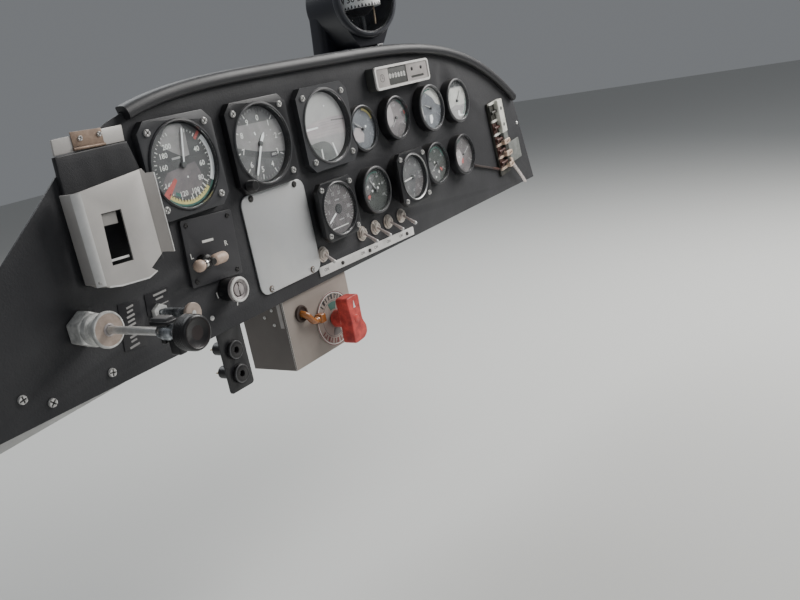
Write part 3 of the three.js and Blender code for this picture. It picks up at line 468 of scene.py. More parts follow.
# Box paint, darker: painted shade on the box's left side.
BOX_SHADED_SIDE = finish("box_side_painted_shade", (0.150, 0.132, 0.120), 0.5, deep=(0.115, 0.102, 0.093),
                  mottle=(15, 2.2), wear=0.5, under=(0.50, 0.47, 0.43), grain=(1100, 0.04))
AMBER_HOSE = finish("amber_hose", (0.42, 0.155, 0.03), 0.25, deep=(0.25, 0.075, 0.015), mottle=(120, 2.2),
                    grain=(1500, 0.02), coat=0.4)
GROMMET_BROWN = finish("grommet_brown_rubber", (0.050, 0.030, 0.022), 0.5, mottle=(60, 2),
                       grain=(1500, 0.04))

GLASS = make_glass("instrument_glass")

# Forms: each returns points in millimetres and the faces between them, closed


def lathe(profile, sides=44):
    """Turned about Y from (radius, y) points. It starts and ends on the axis, or closes on itself."""
    points, rings, faces = [], [], []
    for radius, y in profile:
        start = len(points)
        if radius == 0:
            rings.append([start] * sides)
            points.append((0, y, 0))
            continue
        rings.append([start + i for i in range(sides)])
        turns = [2 * math.pi * i / sides for i in range(sides)]
        points += [(radius * math.cos(t), y, radius * math.sin(t)) for t in turns]
    pairs = list(zip(rings, rings[1:]))
    if profile[0][0] or profile[-1][0]:
        pairs.append((rings[-1], rings[0]))
    for first, second in pairs:
        for i in range(sides):
            j = (i + 1) % sides
            face = list(dict.fromkeys((first[i], first[j], second[j], second[i])))
            if len(face) > 2:
                faces.append(face)
    return points, faces


def measured(y, profile, wider=0.0):
    """A profile for lathe, given from y, and wider all round."""
    return [(radius + wider, y + step) for radius, step in profile]


def prism(outline, front, rear, holes=()):
    """A flat outline of (x, z) points, with any holes, from y = front back to y = rear."""
    loops = [list(outline), *[list(hole) for hole in holes]]
    flat = [point for loop in loops for point in loop]
    count = len(flat)
    points = [(x, y, z) for y in (front, rear) for x, z in flat]
    if holes:
        caps = tessellate_polygon([[Vector((x, z, 0)) for x, z in loop] for loop in loops])
    else:
        caps = [range(count)]
    faces = [list(cap) for cap in caps] + [[i + count for i in reversed(cap)] for cap in caps]
    start = 0
    for loop in loops:
        for i in range(len(loop)):
            a, b = start + i, start + (i + 1) % len(loop)
            faces.append([a, b, b + count, a + count])
        start += len(loop)
    return points, faces


def block(x0, x1, y0, y1, z0, z1):
    return prism([(x0, z0), (x1, z0), (x1, z1), (x0, z1)], y0, y1)


def reshaped(form, rule):
    """The form with its points moved by a rule from x, y and z to the new three."""
    points, faces = form
    return [rule(*point) for point in points], faces


def swap_xy(x, y, z):
    return y, x, z


def swap_yz(x, y, z):
    return x, z, y


def tube(path, radius, sides=14):
    """A round bar along a path of points; radius is a number or one for each point."""
    path = [Vector(point) for point in path]
    radii = radius if isinstance(radius, (list, tuple)) else [radius] * len(path)
    along = [(b - a).normalized() for a, b in zip(path, path[1:])]
    along = [along[0]] + [(a + b).normalized() for a, b in zip(along, along[1:])] + [along[-1]]
    side = along[0].orthogonal().normalized()
    points = []
    for centre, heading, reach in zip(path, along, radii):
        side = (side - side.dot(heading) * heading).normalized()
        across = heading.cross(side)
        for i in range(sides):
            t = 2 * math.pi * i / sides
            points.append(centre + reach * (math.cos(t) * side + math.sin(t) * across))
    return loft([points[i:i + sides] for i in range(0, len(points), sides)])


def loft(rows):
    """A skin over rows of as many points each, closed at both ends."""
    count = len(rows[0])
    points = [point for row in rows for point in row]
    faces = []
    for i in range(len(rows) - 1):
        low, high = i * count, (i + 1) * count
        for k in range(count):
            j = (k + 1) % count
            faces.append([low + k, low + j, high + j, high + k])
    last = (len(rows) - 1) * count
    return points, [*faces, list(range(count)), [last + k for k in reversed(range(count))]]


def smooth_path(points, steps=6):
    """A Catmull-Rom curve through the points."""
    knots = [Vector(point) for point in points]
    knots = [2 * knots[0] - knots[1]] + knots + [2 * knots[-1] - knots[-2]]
    path = []
    for a, b, c, d in zip(knots, knots[1:], knots[2:], knots[3:]):
        for i in range(steps):
            t = i / steps
            path.append(0.5 * (2 * b + (c - a) * t + (2 * a - 5 * b + 4 * c - d) * t ** 2
                               + (3 * b - a - 3 * c + d) * t ** 3))
    return path + [knots[-2]]


def ball(radius, stretch, sides, rings):
    """A ball about the origin, or a capsule along X when stretched."""
    half = stretch / 2
    profile = []
    for end, turns in ((-1, range(rings + 1)), (1, range(rings, -1, -1))):
        for i in turns:
            t = math.pi / 2 * i / rings
            profile.append((radius * math.sin(t), end * (half + radius * math.cos(t))))
    return reshaped(lathe(profile, sides), swap_xy)


def polar(radius, angle):
    """A point at that angle, clockwise from the top in degrees."""
    turn = math.radians(angle)
    return radius * math.sin(turn), radius * math.cos(turn)


def circle(radius, sides=44, x=0.0, z=0.0):
    return [(x + dx, z + dz) for dx, dz in (polar(radius, 360 * i / sides) for i in range(sides))]


def sector(inner, outer, start, end):
    """A band between two radii and two angles, about the origin."""
    steps = max(2, int(abs(end - start) / 4))
    angles = [start + (end - start) * i / steps for i in range(steps + 1)]
    return [polar(outer, a) for a in angles] + [polar(inner, a) for a in reversed(angles)]


def spoke(inner, outer, angle, width, tip=None):
    """A straight mark along a radius; tip is its width at the outer end."""
    (x0, z0), (x1, z1) = polar(inner, angle), polar(outer, angle)
    across = polar(1, angle + 90)
    low, high = width / 2, (width if tip is None else tip) / 2
    return [(x0 + low * across[0], z0 + low * across[1]), (x1 + high * across[0], z1 + high * across[1]),
            (x1 - high * across[0], z1 - high * across[1]), (x0 - low * across[0], z0 - low * across[1])]


def rounded(width, height, radius, x=0.0, z=0.0, steps=5):
    """A rectangle with round corners and its middle at x and z."""
    outline = []
    for sx, sz, start in ((1, 1, 0), (1, -1, 90), (-1, -1, 180), (-1, 1, 270)):
        for i in range(steps + 1):
            dx, dz = polar(radius, start + 90 * i / steps)
            outline.append((x + sx * (width / 2 - radius) + dx, z + sz * (height / 2 - radius) + dz))
    return outline


def cut_square(half, corner):
    """A square with its corners cut off, as an outline about the origin."""
    inner = half - corner
    return [(half, -inner), (half, inner), (inner, half), (-inner, half),
            (-half, inner), (-half, -inner), (-inner, -half), (inner, -half)]


def hexagon(across_flats, x=0.0, z=0.0, turn=0.0):
    points = [polar(across_flats / math.sqrt(3), turn + 60 * i) for i in range(6)]
    return [(x + dx, z + dz) for dx, dz in points]


LETTER_FORMS = {}


def letters(text):
    """Letters one unit high, centred on the origin and standing off y = 0 towards the front."""
    if text not in LETTER_FORMS:
        curve = bpy.data.curves.new("letters", "FONT")
        curve.body = text
        curve.align_x = "CENTER"
        curve.align_y = "CENTER"
        curve.resolution_u = 2
        curve.offset = 0.012
        curve.extrude = 0.02
        holder = bpy.data.objects.new("letters", curve)
        bpy.context.scene.collection.objects.link(holder)
        bpy.context.view_layer.update()
        mesh = bpy.data.meshes.new_from_object(holder.evaluated_get(bpy.context.evaluated_depsgraph_get()))
        points = [(v.co.x, -v.co.z, v.co.y) for v in mesh.vertices]
        LETTER_FORMS[text] = points, [list(face.vertices) for face in mesh.polygons]
        bpy.data.objects.remove(holder)
        bpy.data.curves.remove(curve)
        bpy.data.meshes.remove(mesh)
    return LETTER_FORMS[text]


# Building a piece from forms


def bevel_sharp(mesh, width, segments=2, least=35):
    """Rounds every edge sharper than the given angle in degrees; width is in millimetres."""
    sharp = [edge for edge in mesh.edges
             if len(edge.link_faces) == 2 and edge.calc_face_angle(0) > math.radians(least)]
    bmesh.ops.bevel(mesh, geom=sharp, offset=width / METRE, segments=segments, profile=0.6,
                    affect="EDGES", clamp_overlap=True)


def frame_turn(x=0.0, y=0.0, z=0.0, tilt=0.0, yaw=0.0):
    """A place in the part's frame: tilt is about Y, clockwise from the front, and yaw about Z."""
    spin = Matrix.Rotation(math.radians(yaw), 4, "Z") @ Matrix.Rotation(math.radians(tilt), 4, "Y")
    return Matrix.Translation(metres(x, y, z)) @ spin


class Piece:
    """One object in the making. Forms are added in millimetres around the piece's own place."""

    def __init__(self, name, slot, body="root", **place):
        self.name = name
        self.slot = slot
        self.body = body
        self.place = frame_turn(**place)
        self.mesh = bmesh.new()
        self.materials = []

    def add(self, form, material, bevel=0.0, segments=2, **place):
        """Adds a closed form, with its sharp edges rounded by bevel, at a place within the piece."""
        points, faces = form
        part = bmesh.new()
        corners = [part.verts.new(Vector(point) / METRE) for point in points]
        for face in faces:
            if len({*face}) > 2:
                part.faces.new([corners[i] for i in face])
        bmesh.ops.remove_doubles(part, verts=part.verts, dist=1e-7)
        bmesh.ops.recalc_face_normals(part, faces=part.faces)
        if bevel:
            bevel_sharp(part, bevel, segments)
        self.take(part, material, frame_turn(**place))

    def take(self, part, material, place=Matrix()):
        """Adds another bmesh and frees it."""
        if material not in self.materials:
            self.materials.append(material)
        index = self.materials.index(material)
        for face in part.faces:
            face.material_index = index
        part.transform(self.place @ place)
        scratch = bpy.data.meshes.new("scratch")
        part.to_mesh(scratch)
        part.free()
        self.mesh.from_mesh(scratch)
        bpy.data.meshes.remove(scratch)

    def print_flat(self, outline, y, material, height=SKIN):
        """Printing or a thin applied mark on a face at y."""
        self.add(prism(outline, y - height, y + 0.05), material)

    def write(self, text, size, x, y, z, material, turn=0.0):
        """Lettering on a face at y, with its middle at x and z, turned clockwise in degrees."""
        lean = math.radians(turn)
        ca, sa = math.cos(lean), math.sin(lean)

        def placed(px, py, pz):
            return x + size * (px * ca + pz * sa), y + size * py, z + size * (pz * ca - px * sa)

        self.add(reshaped(letters(text), placed), material)

    def refinish(self, material, chosen):
        """Gives another finish to the faces for which chosen says so."""
        self.materials.append(material)
        for face in self.mesh.faces:
            if chosen(face):
                face.material_index = len(self.materials) - 1

    def done(self, *nodes, smooth=38):
        """Makes the object, which rides on its body and stands for the named CAD nodes."""
        mesh = bpy.data.meshes.new(self.name)
        self.mesh.to_mesh(mesh)
        self.mesh.free()
        for material in self.materials:
            mesh.materials.append(material)
        mesh.shade_smooth()
        mesh.set_sharp_from_angle(angle=math.radians(smooth))
        made = bpy.data.objects.new(self.name, mesh)
        bpy.context.scene.collection.objects.link(made)
        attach(made, self.body)
        if nodes:
            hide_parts(*nodes)
        return made


def solid_of(node_name, bevel, segments=2):
    """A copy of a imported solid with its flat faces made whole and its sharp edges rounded."""
    part = bmesh.new()
    part.from_mesh(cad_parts[node_name].data)
    bmesh.ops.remove_doubles(part, verts=part.verts, dist=2e-6)
    bmesh.ops.dissolve_limit(part, angle_limit=math.radians(0.5), verts=part.verts, edges=part.edges)
    bevel_sharp(part, bevel, segments)
    return part


def make_whole(name, slot, node_name, bevel, material):
    """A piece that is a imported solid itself, with its edges rounded."""
    piece = Piece(name, slot)
    piece.take(solid_of(node_name, bevel), material)
    piece.done(node_name)


def add_screw(piece, x, y, z, radius, material, slots=2, turn=20.0, height=None, **place):
    """A pan head cut by one or two slots, seated on a face at y and looking forward."""
    height = height or 0.6 * radius
    sides, gap = 28, 0.32 * radius
    rim = lathe([(0, 0.1), (radius * 0.94, 0.1), (radius, -0.1), (radius, -0.45 * height),
                 (0.94 * radius, -0.6 * height), (0, -0.6 * height)], sides)
    piece.add(rim, material, x=x, y=y, z=z, **place)
    # The floor under the slots is dark: painted shade in the recess.
    floor = lathe([(0, -0.5 * height), (0.78 * radius, -0.5 * height), (0.78 * radius, -0.66 * height),
                   (0, -0.66 * height)], sides)
    piece.add(floor, DARK_SCREW, x=x, y=y, z=z, **place)
    sweep = 180 if slots == 1 else 90
    for i in range(360 // sweep):
        arc = [polar(radius * 0.93, sweep * (k / 6)) for k in range(7)]
        if slots == 1:
            head = [(px, pz) for px, pz in arc if px > gap / 2]
            head = [(gap / 2, head[0][1]), *head, (gap / 2, head[-1][1])]
        else:
            head = [(gap / 2, gap / 2)] + [(max(px, gap / 2), max(pz, gap / 2)) for px, pz in arc]
        piece.add(prism(head, -height, -0.5 * height), material, bevel=0.2 * radius,
                  x=x, y=y, z=z, tilt=turn + sweep * i, **place)


def top_of(node_name):
    """Highest y of a node in millimetres, its rear side."""
    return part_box(node_name)[1][1] * METRE


# Panel sheet and its edges

# The arched top edge falls away from PANEL_TOP by drop * (|x| / EDGE_REACH) ** power
PANEL_TOP = 205
EDGE_REACH = 312
LEFT_DROP, LEFT_POWER = 40.9, 5
RIGHT_DROP, RIGHT_POWER = 33, 3.6
TRIM_FROM, TRIM_TO, TRIM_STEPS = -252, 416, 90
PANEL_SCREWS = [(-326, 1.8), (-380, 0.9), (-400.7, 12.5)]
PANEL_RIVETS = [(-215.5, 6.5), (421, 74)]


def top_edge(x):
    drop, power = (LEFT_DROP, LEFT_POWER) if x < 0 else (RIGHT_DROP, RIGHT_POWER)
    return PANEL_TOP - drop * (abs(x) / EDGE_REACH) ** power


def make_panel():
    piece = Piece("painted_panel", "panel_paint")
    piece.take(solid_of("panel_sheet", 0.35), PANEL_PAINT)
    piece.refinish(BARE_SHEET, lambda face: face.normal.y > 0.3 or face.normal.z < -0.5)
    piece.done("panel_sheet")

    fixings = Piece("panel_screws", "steel_screw")
    for i, (x, z) in enumerate(PANEL_SCREWS):
        add_screw(fixings, x, FACE, z, 3.5, BRIGHT_SCREW, turn=35 * i + 10)
        fixings.add(prism(hexagon(7.5, x, z, 20 * i), 0, 3), BRIGHT_SCREW, bevel=0.4)
    dome = [(0, 0.2), (2.3, 0.2), (2.4, -0.3), (1.9, -1.0), (1.0, -1.4), (0, -1.5)]
    for x, z in PANEL_RIVETS:
        fixings.add(lathe(dome, 20), BRIGHT_SCREW, x=x, y=FACE, z=z)
    fixings.done()
    make_whole("lower_left_backing", "bare_aluminium", "lower_left_strip", 0.3, BARE_SHEET)


def make_edge_trim():
    """A rubber channel over the arched edge: its section is (distance outside the edge, y)."""
    section = [(-6.2, -3.0), (-7, -4.5), (-7, -7.2), (-6.3, -9.2), (-4.6, -10.3), (-2, -10.5), (1.2, -10.1),
               (3.6, -8.4), (4.8, -5.6), (5, -1), (4.8, 1.2), (3.6, 2.3), (-6, 2.5), (-6.8, 1.9),
               (-6.8, 0.6), (0.4, 0.4), (0.4, -2.8)]
    rows = []
    for i in range(TRIM_STEPS + 1):
        x = TRIM_FROM + (TRIM_TO - TRIM_FROM) * i / TRIM_STEPS
        slope = top_edge(x + 0.5) - top_edge(x - 0.5)
        length = math.hypot(1, slope)
        rows.append([(x - u * slope / length, y, top_edge(x) + u / length) for u, y in section])
    piece = Piece("edge_trim_rubber", "black_rubber")
    piece.add(loft(rows), TRIM_RUBBER)
    piece.done("edge_trim", smooth=50)


# Instruments


def scale(piece, y, ticks, material=PRINT_IVORY):
    """Radial ticks from rows of (how many steps, first angle, last angle, inner, outer, width)."""
    for steps, first, last, inner, outer, width in ticks:
        for i in range(steps + 1):
            angle = first + (last - first) * i / steps
            piece.print_flat(spoke(inner, outer, angle, width), y, material)


def numbers(piece, y, names, first, last, radius, size, material):
    """Names spread evenly round a scale from the first angle to the last."""
    for i, name in enumerate(names):
        angle = first + (last - first) * i / (len(names) - 1)
        x, z = polar(radius, angle)
        piece.write(name, size, x, y, z, material)


def needle(piece, y, angle, length, width, material=PRINT_WHITE, tail=0.0, tip=0.35):
    """A thin pointer from its hub, and its tail on the other side."""
    (dx, dz), (ax, az) = polar(1, angle), polar(1, angle + 90)
    outline = [(-tail, -width / 2), (length - width, -width / 2), (length, -width * tip / 2),
               (length, width * tip / 2), (length - width, width / 2), (-tail, width / 2)]
    shape = [(along * dx + across * ax, along * dz + across * az) for along, across in outline]
    piece.add(prism(shape, y, y + 0.45), material, bevel=0.12, segments=1)


def hub(piece, y, radius, material=DIAL_BLACK, height=2.2):
    piece.add(lathe([(0, y - height), (radius - 0.5, y - height), (radius, y - height + 0.5), (radius, y),
                     (0, y)], 28), material)


def arcs(piece, y, rows):
    """Coloured bands from rows of (inner and outer radius, first and last angle, finish)."""
    for inner, outer, first, last, tint in rows:
        piece.print_flat(sector(inner, outer, first, last), y, tint)


def face_of(name):
    """y of the printed face of an instrument's dial, which is 1 mm thick."""
    return top_of(f"{name}_dial") - 1


def start_dial(name, radius, material, place, nearer=0.0, slot="dial_face"):
    """Makes a dial's plate, and starts the piece that is its printing. The dial can stand nearer to the
    glass than its solid does."""
    y = face_of(name) - nearer
    disc = Piece(f"{name}_face", slot, y=y, **place)
    disc.add(lathe([(0, 0), (radius - 0.3, 0), (radius, 0.3), (radius, 1), (0, 1)], 64), material)
    disc.done(f"{name}_dial")
    return Piece(f"{name}_markings", "dial_marking", y=y, **place)


def add_glass(name, y, pane, sides, place):
    """A round pane from its profile about y."""
    glass = Piece(name, "clear_glass", **place)
    glass.add(lathe(measured(y, pane), sides), GLASS)
    glass.done()


def stepped(outline, steps):
    """The closed outline with each of its sides cut into so many steps."""
    dense = []
    for (x0, z0), (x1, z1) in zip(outline, outline[1:] + outline[:1]):
        dense += [(x0 + (x1 - x0) * i / steps, z0 + (z1 - z0) * i / steps) for i in range(steps)]
    return dense


def drawn_in(outline, radius):
    """The outline with whatever lies beyond the radius drawn back onto it."""
    dense = stepped(outline, 10)
    reach = [min(1, radius / max(math.hypot(x, z), 0.1)) for x, z in dense]
    return [(x * k, z * k) for (x, z), k in zip(dense, reach)]


def reflection_and_fade_patch(piece, outline, material, radius=34.1, level=0):
    """A thin patch on a dial, under its printing: partly a painted reflection of the glass, partly faded
    paint; level stacks one patch on another.
    """
    piece.print_flat(drawn_in(outline, radius), 0, material, 0.03 + 0.025 * level)


CORNERS = ((-1, 1), (1, 1), (1, -1), (-1, -1))      # clockwise, as signs of x and z
AIRSPEED = {"x": -208.2, "z": 140}
ALTIMETER = {"x": -110, "z": 140}
TURN = {"x": -11.9, "z": 140}
LARGE_FRONT = FACE - 7.4
LARGE_DIAL = 34.4       # radius of the two dials that keep their solid's size
LARGE_SQUARE = 31.45    # how far each screw lies from the middle, in x and in z
SMALL_SQUARE = 23.55

# Numerals on the airspeed dial: what they say and their angle
AIRSPEED_NUMERALS = [("40", 62), ("60", 97), ("80", 131), ("100", 164), ("120", 196), ("140", 236),
                     ("160", 273), ("180", 300), ("200", 324)]
ALTIMETER_LEAN = 9      # angle at which the altimeter's scale begins


def make_airspeed():
    marks = start_dial("airspeed", 35.0, DIAL_SLATE, AIRSPEED, nearer=2)
    # The hazy upper patch is a painted reflection of the glass.
    reflection_and_fade_patch(marks, [(-19, 19.5), (-17, 24), (-11, 31), (-2, 36), (7, 35), (10.5, 28), (10.2, 20), (9.6, 6.8),
                 (3, 6), (-6.9, 11.4), (-12, 14.5)], DIAL_HAZE_REFLECTION)
    reflection_and_fade_patch(marks, [(-26, -11), (-18.5, -3.2), (13.6, 0.5), (17.1, -8.5), (16.9, -18.5), (9.1, -25),
                 (-7, -26), (-18, -22)], DIAL_BLUSH, level=1)
    scale(marks, 0, [(16, 20, 340, 27.4, 30.2, 0.8), (48, 20, 340, 28.7, 30.2, 0.45),
                     (5, 130, 176, 24.8, 29.6, 1.0)])
    for text, angle in AIRSPEED_NUMERALS:
        x, z = polar(24.2 if 150 < angle < 250 else 21.2, angle)
        marks.write(text, 6.2, x, 0, z, PRINT_IVORY)
    arcs(marks, 0, [(30.6, 34.8, 53, 123, PRINT_WHITE), (33.0, 34.8, 123.5, 238, PRINT_GREEN),
                    (29.4, 32.9, 136, 228, PRINT_YELLOW)])
    for angle in range(142, 228, 6):
        marks.print_flat(spoke(28.8, 30.8, angle, 0.7), -0.1, PRINT_DARK)
    marks.print_flat(spoke(15, 34, -131, 3.2, 6.8), -0.02, PRINT_RED)
    marks.print_flat(spoke(26.5, 34.6, 46, 2.6), 0, PRINT_RED)
    marks.print_flat(sector(24.6, 27.4, 204, 216), 0, PRINT_GREEN)
    marks.print_flat(rounded(9.4, 1.8, 0.4, -5.6, 6.7), 0, PRINT_FADED)
    marks.print_flat(circle(0.9, 16, 2, -10.5), 0, PRINT_IVORY)
    hub(marks, 0, 2.8, DIAL_SLATE, 1.8)
    needle(marks, -1.6, 12.7, 30.5, 1.6, tail=1.5)
    marks.done()


def make_altimeter():
    marks = start_dial("altimeter", LARGE_DIAL, DIAL_GREY, ALTIMETER)
    # The hazy upper patch is a painted reflection of the glass.
    reflection_and_fade_patch(marks, [(-36, 3), (-31, 13.5), (-27, 20), (28.7, 19), (36, 8), (33, -13), (-3.7, -7), (-30, 0.8)],
         DIAL_HAZE_REFLECTION)
    reflection_and_fade_patch(marks, [(-34, 0.6), (-30, 1.2), (-3.7, -6.6), (33, -12.6), (30, -19), (5.5, -14.4), (-15.7, -9),
                 (-34, -4)], DIAL_SLATE, level=1)
    sweep = (ALTIMETER_LEAN, 360 + ALTIMETER_LEAN)
    scale(marks, 0, [(10, *sweep, 28, 32.6, 1.0)])
    scale(marks, 0, [(50, *sweep, 30.4, 32.6, 0.4)], PRINT_FADED)
    for i in range(10):
        x, z = polar(23.6, 36 * i + ALTIMETER_LEAN)
        marks.write(str(i), 7.4, x, 0, z, PRINT_IVORY)
    marks.print_flat(rounded(9.6, 5.0, 0.6, 15.6, -12.4), -0.05, PRINT_DARK, 0.1)
    marks.write("1013", 3.4, 15.6, -0.15, -12.4, PRINT_IVORY)
    marks.print_flat(spoke(9.2, 12.2, -20, 1.5), 0, PRINT_WHITE)
    for x, z in ((11, 6), (18, 10), (-13, 4), (21, 5)):
        marks.print_flat(rounded(2.2, 1.4, 0.4, x, z), 0, PRINT_FADED)
    hub(marks, 0, 2.6, DIAL_SLATE)
    needle(marks, -1.2, 38, 12, 3.4, tip=0.2)
    needle(marks, -1.9, -153, 30.5, 2.3)
    marks.done()


# The shaded patch low on the turn indicator
TURN_HOOD = [(-36, -18), (-30.5, -16.2), (-25.5, -14.6), (-19, -13.7), (-10.3, -13.7), (-5.4, -14.2),
             (-1.8, -15.4), (2.0, -17.4), (5, -20.4), (7.6, -25), (9, -30), (9, -40), (-18, -40), (-32, -30)]


def make_turn_indicator():
    # The pale dial and its pink and dusky patches are a painted reflection of the glass over the face.
    marks = start_dial("turn_indicator", LARGE_DIAL, DIAL_PALE_REFLECTION, TURN, slot="pale_dial")
    reflection_and_fade_patch(marks, [(-36, -7), (-36, 2), (-12, 6.8), (12, 8.4), (36, 6), (36, -16), (10, -16), (-14, -15)],
         DIAL_PINK)
    reflection_and_fade_patch(marks, [(-36, -9), (36, -11), (30, -30), (0, -40), (-30, -30)], DIAL_DUSK, level=1)
    for x, z, width in ((3, 6.6, 42), (10, 3.9, 36), (-2, 1.8, 46), (12, -1.2, 34), (4, -4.4, 40),
                        (-4, -7.2, 34), (14, -9.6, 30)):
        marks.print_flat(rounded(width, 0.5, 0.2, x, z), 0, DIAL_DUSK, 0.09)
    reflection_and_fade_patch(marks, TURN_HOOD, DIAL_SHADE, level=4)
    wing = [(-32.8, -0.9), (-32.6, 1.4), (-12.4, 1.3), (-11.2, 0.4), (-12.4, -0.4)]
    marks.print_flat(wing, -0.3, PRINT_WHITE, 0.6)
    marks.print_flat([(11.8, 5.1), (33.2, 3.7), (33.2, 2.2), (11.8, 3.9)], 0, PRINT_GREY)
    marks.print_flat([(-12.7, -21.4), (-11.1, -21.4), (-11.4, -33.0), (-13.2, -33.0)], -0.1, PRINT_IVORY)
    marks.print_flat([(6.6, -17.6), (8.3, -18.0), (12.6, -31.4), (10.6, -32.6)], -0.1, PRINT_WHITE)
    marks.print_flat(circle(0.8, 16, 5.2, 19.9), 0, PRINT_WHITE)
    marks.done()


def threaded_stub(piece, x, y0, y1, z, radius):
    """A brass pipe stub: hexagon, then ridges of thread."""
    piece.add(prism(hexagon(2.1 * radius, x, z), y0, y0 + 0.35 * (y1 - y0)), BRASS, bevel=0.5)
    profile, y = [(0, y0)], y0
    while y < y1 - 1.2:
        profile += [(radius, y), (radius, y + 0.5), (radius - 0.6, y + 0.9)]
        y += 1.2
    piece.add(lathe([*profile, (radius - 0.8, y1), (0, y1)], 20), BRASS, x=x, z=z)


def knurls(radius, y0, y1, depth=0.35, pitch=0.9):
    """The outline of a ridged grip, as (radius, y) points from y0 to y1."""
    profile, y = [], y0
    while y < y1 - pitch:
        profile += [(radius - depth, y), (radius, y + 0.3 * pitch), (radius, y + 0.7 * pitch)]
        y += pitch
    return [*profile, (radius - depth, y1)]


def notched(outline, centre, radius):
    """The outline without what lies inside a circle, for a neighbour set close beside it."""
    kept = []
    for x, z in stepped(outline, 40):
        away = math.hypot(x - centre[0], z - centre[1])
        if away < radius:
            grow = radius / max(away, 0.1)
            x, z = centre[0] + (x - centre[0]) * grow, centre[1] + (z - centre[1]) * grow
        kept.append((x, z))
    return kept


def make_large_case(name, rear, place, screws, flange_finish, rim_finish=RIM_BLACK, knob=False, notch=None):
    """A square flange on a round can that reaches back to y = rear. A notch is the centre and radius of
    a neighbour that the flange makes room for."""
    front = LARGE_FRONT
    floor = top_of(f"{name}_dial")
    case = Piece(f"{name}_housing", "black_case", **place)
    flange = cut_square(41.25, 9)
    if notch:
        flange = notched(flange, *notch)
    case.add(prism(flange, front, SEAT, [circle(36.2, 60)]), flange_finish, bevel=0.7)
    case.add(lathe([(34.9, floor), (35.8, front - 0.7), (36.2, front - 0.7), (36.2, floor)], 72), CASE_BLACK)
    rim = [(35.8, 0.5), (35.8, -0.8), (36.4, -1.4), (37.6, -1.2), (38.5, -0.1), (38.7, 1), (38.7, 2)]
    case.add(lathe(measured(front, rim), 72), rim_finish)
    case.add(lathe([(0, floor + 0.3), (36.4, floor + 0.3), (36.4, SEAT - 1), (39.3, SEAT - 0.6),
                    (39.3, 14), (38.7, 14.6), (38.7, 17), (39.3, 17.6), (39.3, rear - 8),
                    (38.6, rear - 7.4), (38.6, rear - 6), (37.4, rear), (0, rear)], 64), CAN_BLACK)
    for z in (16, -16):
        threaded_stub(case, 0, rear, rear + 8, z, 5.2)
    if knob:
        case.add(lathe([(0, -20), (3.9, -20), (4.6, -19.4)] + knurls(5.2, -18.6, -12)
                       + [(2.6, -11), (2.6, front + 1), (0, front + 1)], 28), KNOB_BLACK, x=-33, z=-33)
    case.done(f"{name}_case")
    for dx, dz in screws:
        add_screw(INSTRUMENT_SCREWS, place["x"] + dx, front, place["z"] + dz, 3.0, BRIGHT_SCREW,
                  turn=(dx * 7 + dz * 3) % 90)
    pane = [(0, -0.4), (35.7, -0.4), (35.6, 0.3), (0, 0.3)]
    add_glass(f"{name}_glass", front, pane, 64, place)


def make_large_cases():
    corners = [(LARGE_SQUARE * sx, LARGE_SQUARE * sz) for sx, sz in CORNERS]
    make_large_case("airspeed", 62, AIRSPEED, corners, CASE_SLATE)
    # The altimeter's slate rim stands in for the sheen of light on it: painted highlight.
    make_large_case("altimeter", 88, ALTIMETER, corners[:3], CASE_BLACK, CASE_SLATE, knob=True)
    gauge_x, gauge_z, bezel = GAUGES[0][1:4]
    notch = (gauge_x - TURN["x"], gauge_z - TURN["z"]), bezel + 0.6
    # The turn indicator's grey rim stands in for the sheen of light on it: painted highlight.
    make_large_case("turn_indicator", 96, TURN, corners, CASE_SLATE, GREY_CASE_AND_SHEEN, notch=notch)


ENGINE = {"x": -26.2, "z": 57.6}
CLIMB = {"x": 107.1, "z": 61.1}


def make_square_case(name, proud, rear, place, grow=0.0, bright_lip=False):
    """A small square case that stands proud of the sheet; grow widens the opening over its dial."""
    front = FACE - proud
    floor = top_of(f"{name}_dial")
    case = Piece(f"{name}_housing", "black_case", **place)
    hole = [circle(25.6 + grow, 52)]
    case.add(prism(cut_square(30.1, 7), front, front + 6, hole), CASE_BLACK, bevel=0.6)
    case.add(lathe([(27.6, front + 5.9), (27.6, SEAT), (22, SEAT), (22, front + 5.9)], 56), CASE_BLACK)
    wall = [(24.1, floor), (25.0, front - 0.6), (25.3, front - 0.6), (25.3, floor)]
    case.add(lathe(measured(0, wall, grow), 60), CASE_BLACK)
    rim = [(25.0, 0.5), (25.0, -0.8), (25.6, -1.2), (26.4, -1.0), (27.2, 0), (27.3, 1), (27.3, 2)]
    case.add(lathe(measured(front, rim, grow), 60), RIM_BLACK)
    if bright_lip:
        lip = [(24.6, 0.2), (24.9, -0.9), (25.6, -1.4), (25.6, -1.0), (25.0, 0.2)]
        case.add(lathe(measured(front, lip), 60), BARE_SHEET)
    case.add(lathe([(0, floor + 0.3), (25.4, floor + 0.3), (25.5, rear - 6), (25.0, rear - 5.4),
                    (25.0, rear - 4), (23.6, rear), (0, rear)], 52), CAN_BLACK)
    threaded_stub(case, 0, rear, rear + 7, 0, 3.6)
    case.done(f"{name}_case")
    for sx, sz in CORNERS:
        add_screw(INSTRUMENT_SCREWS, place["x"] + sx * SMALL_SQUARE, front, place["z"] + sz * SMALL_SQUARE,
                  2.8, BRIGHT_SCREW, turn=25 * sx + 40 * sz)
    edge = 24.9 + grow
    pane = [(0, -0.4), (edge, -0.4), (edge - 0.1, 0.2), (0, 0.2)]
    add_glass(f"{name}_glass", front, pane, 52, place)


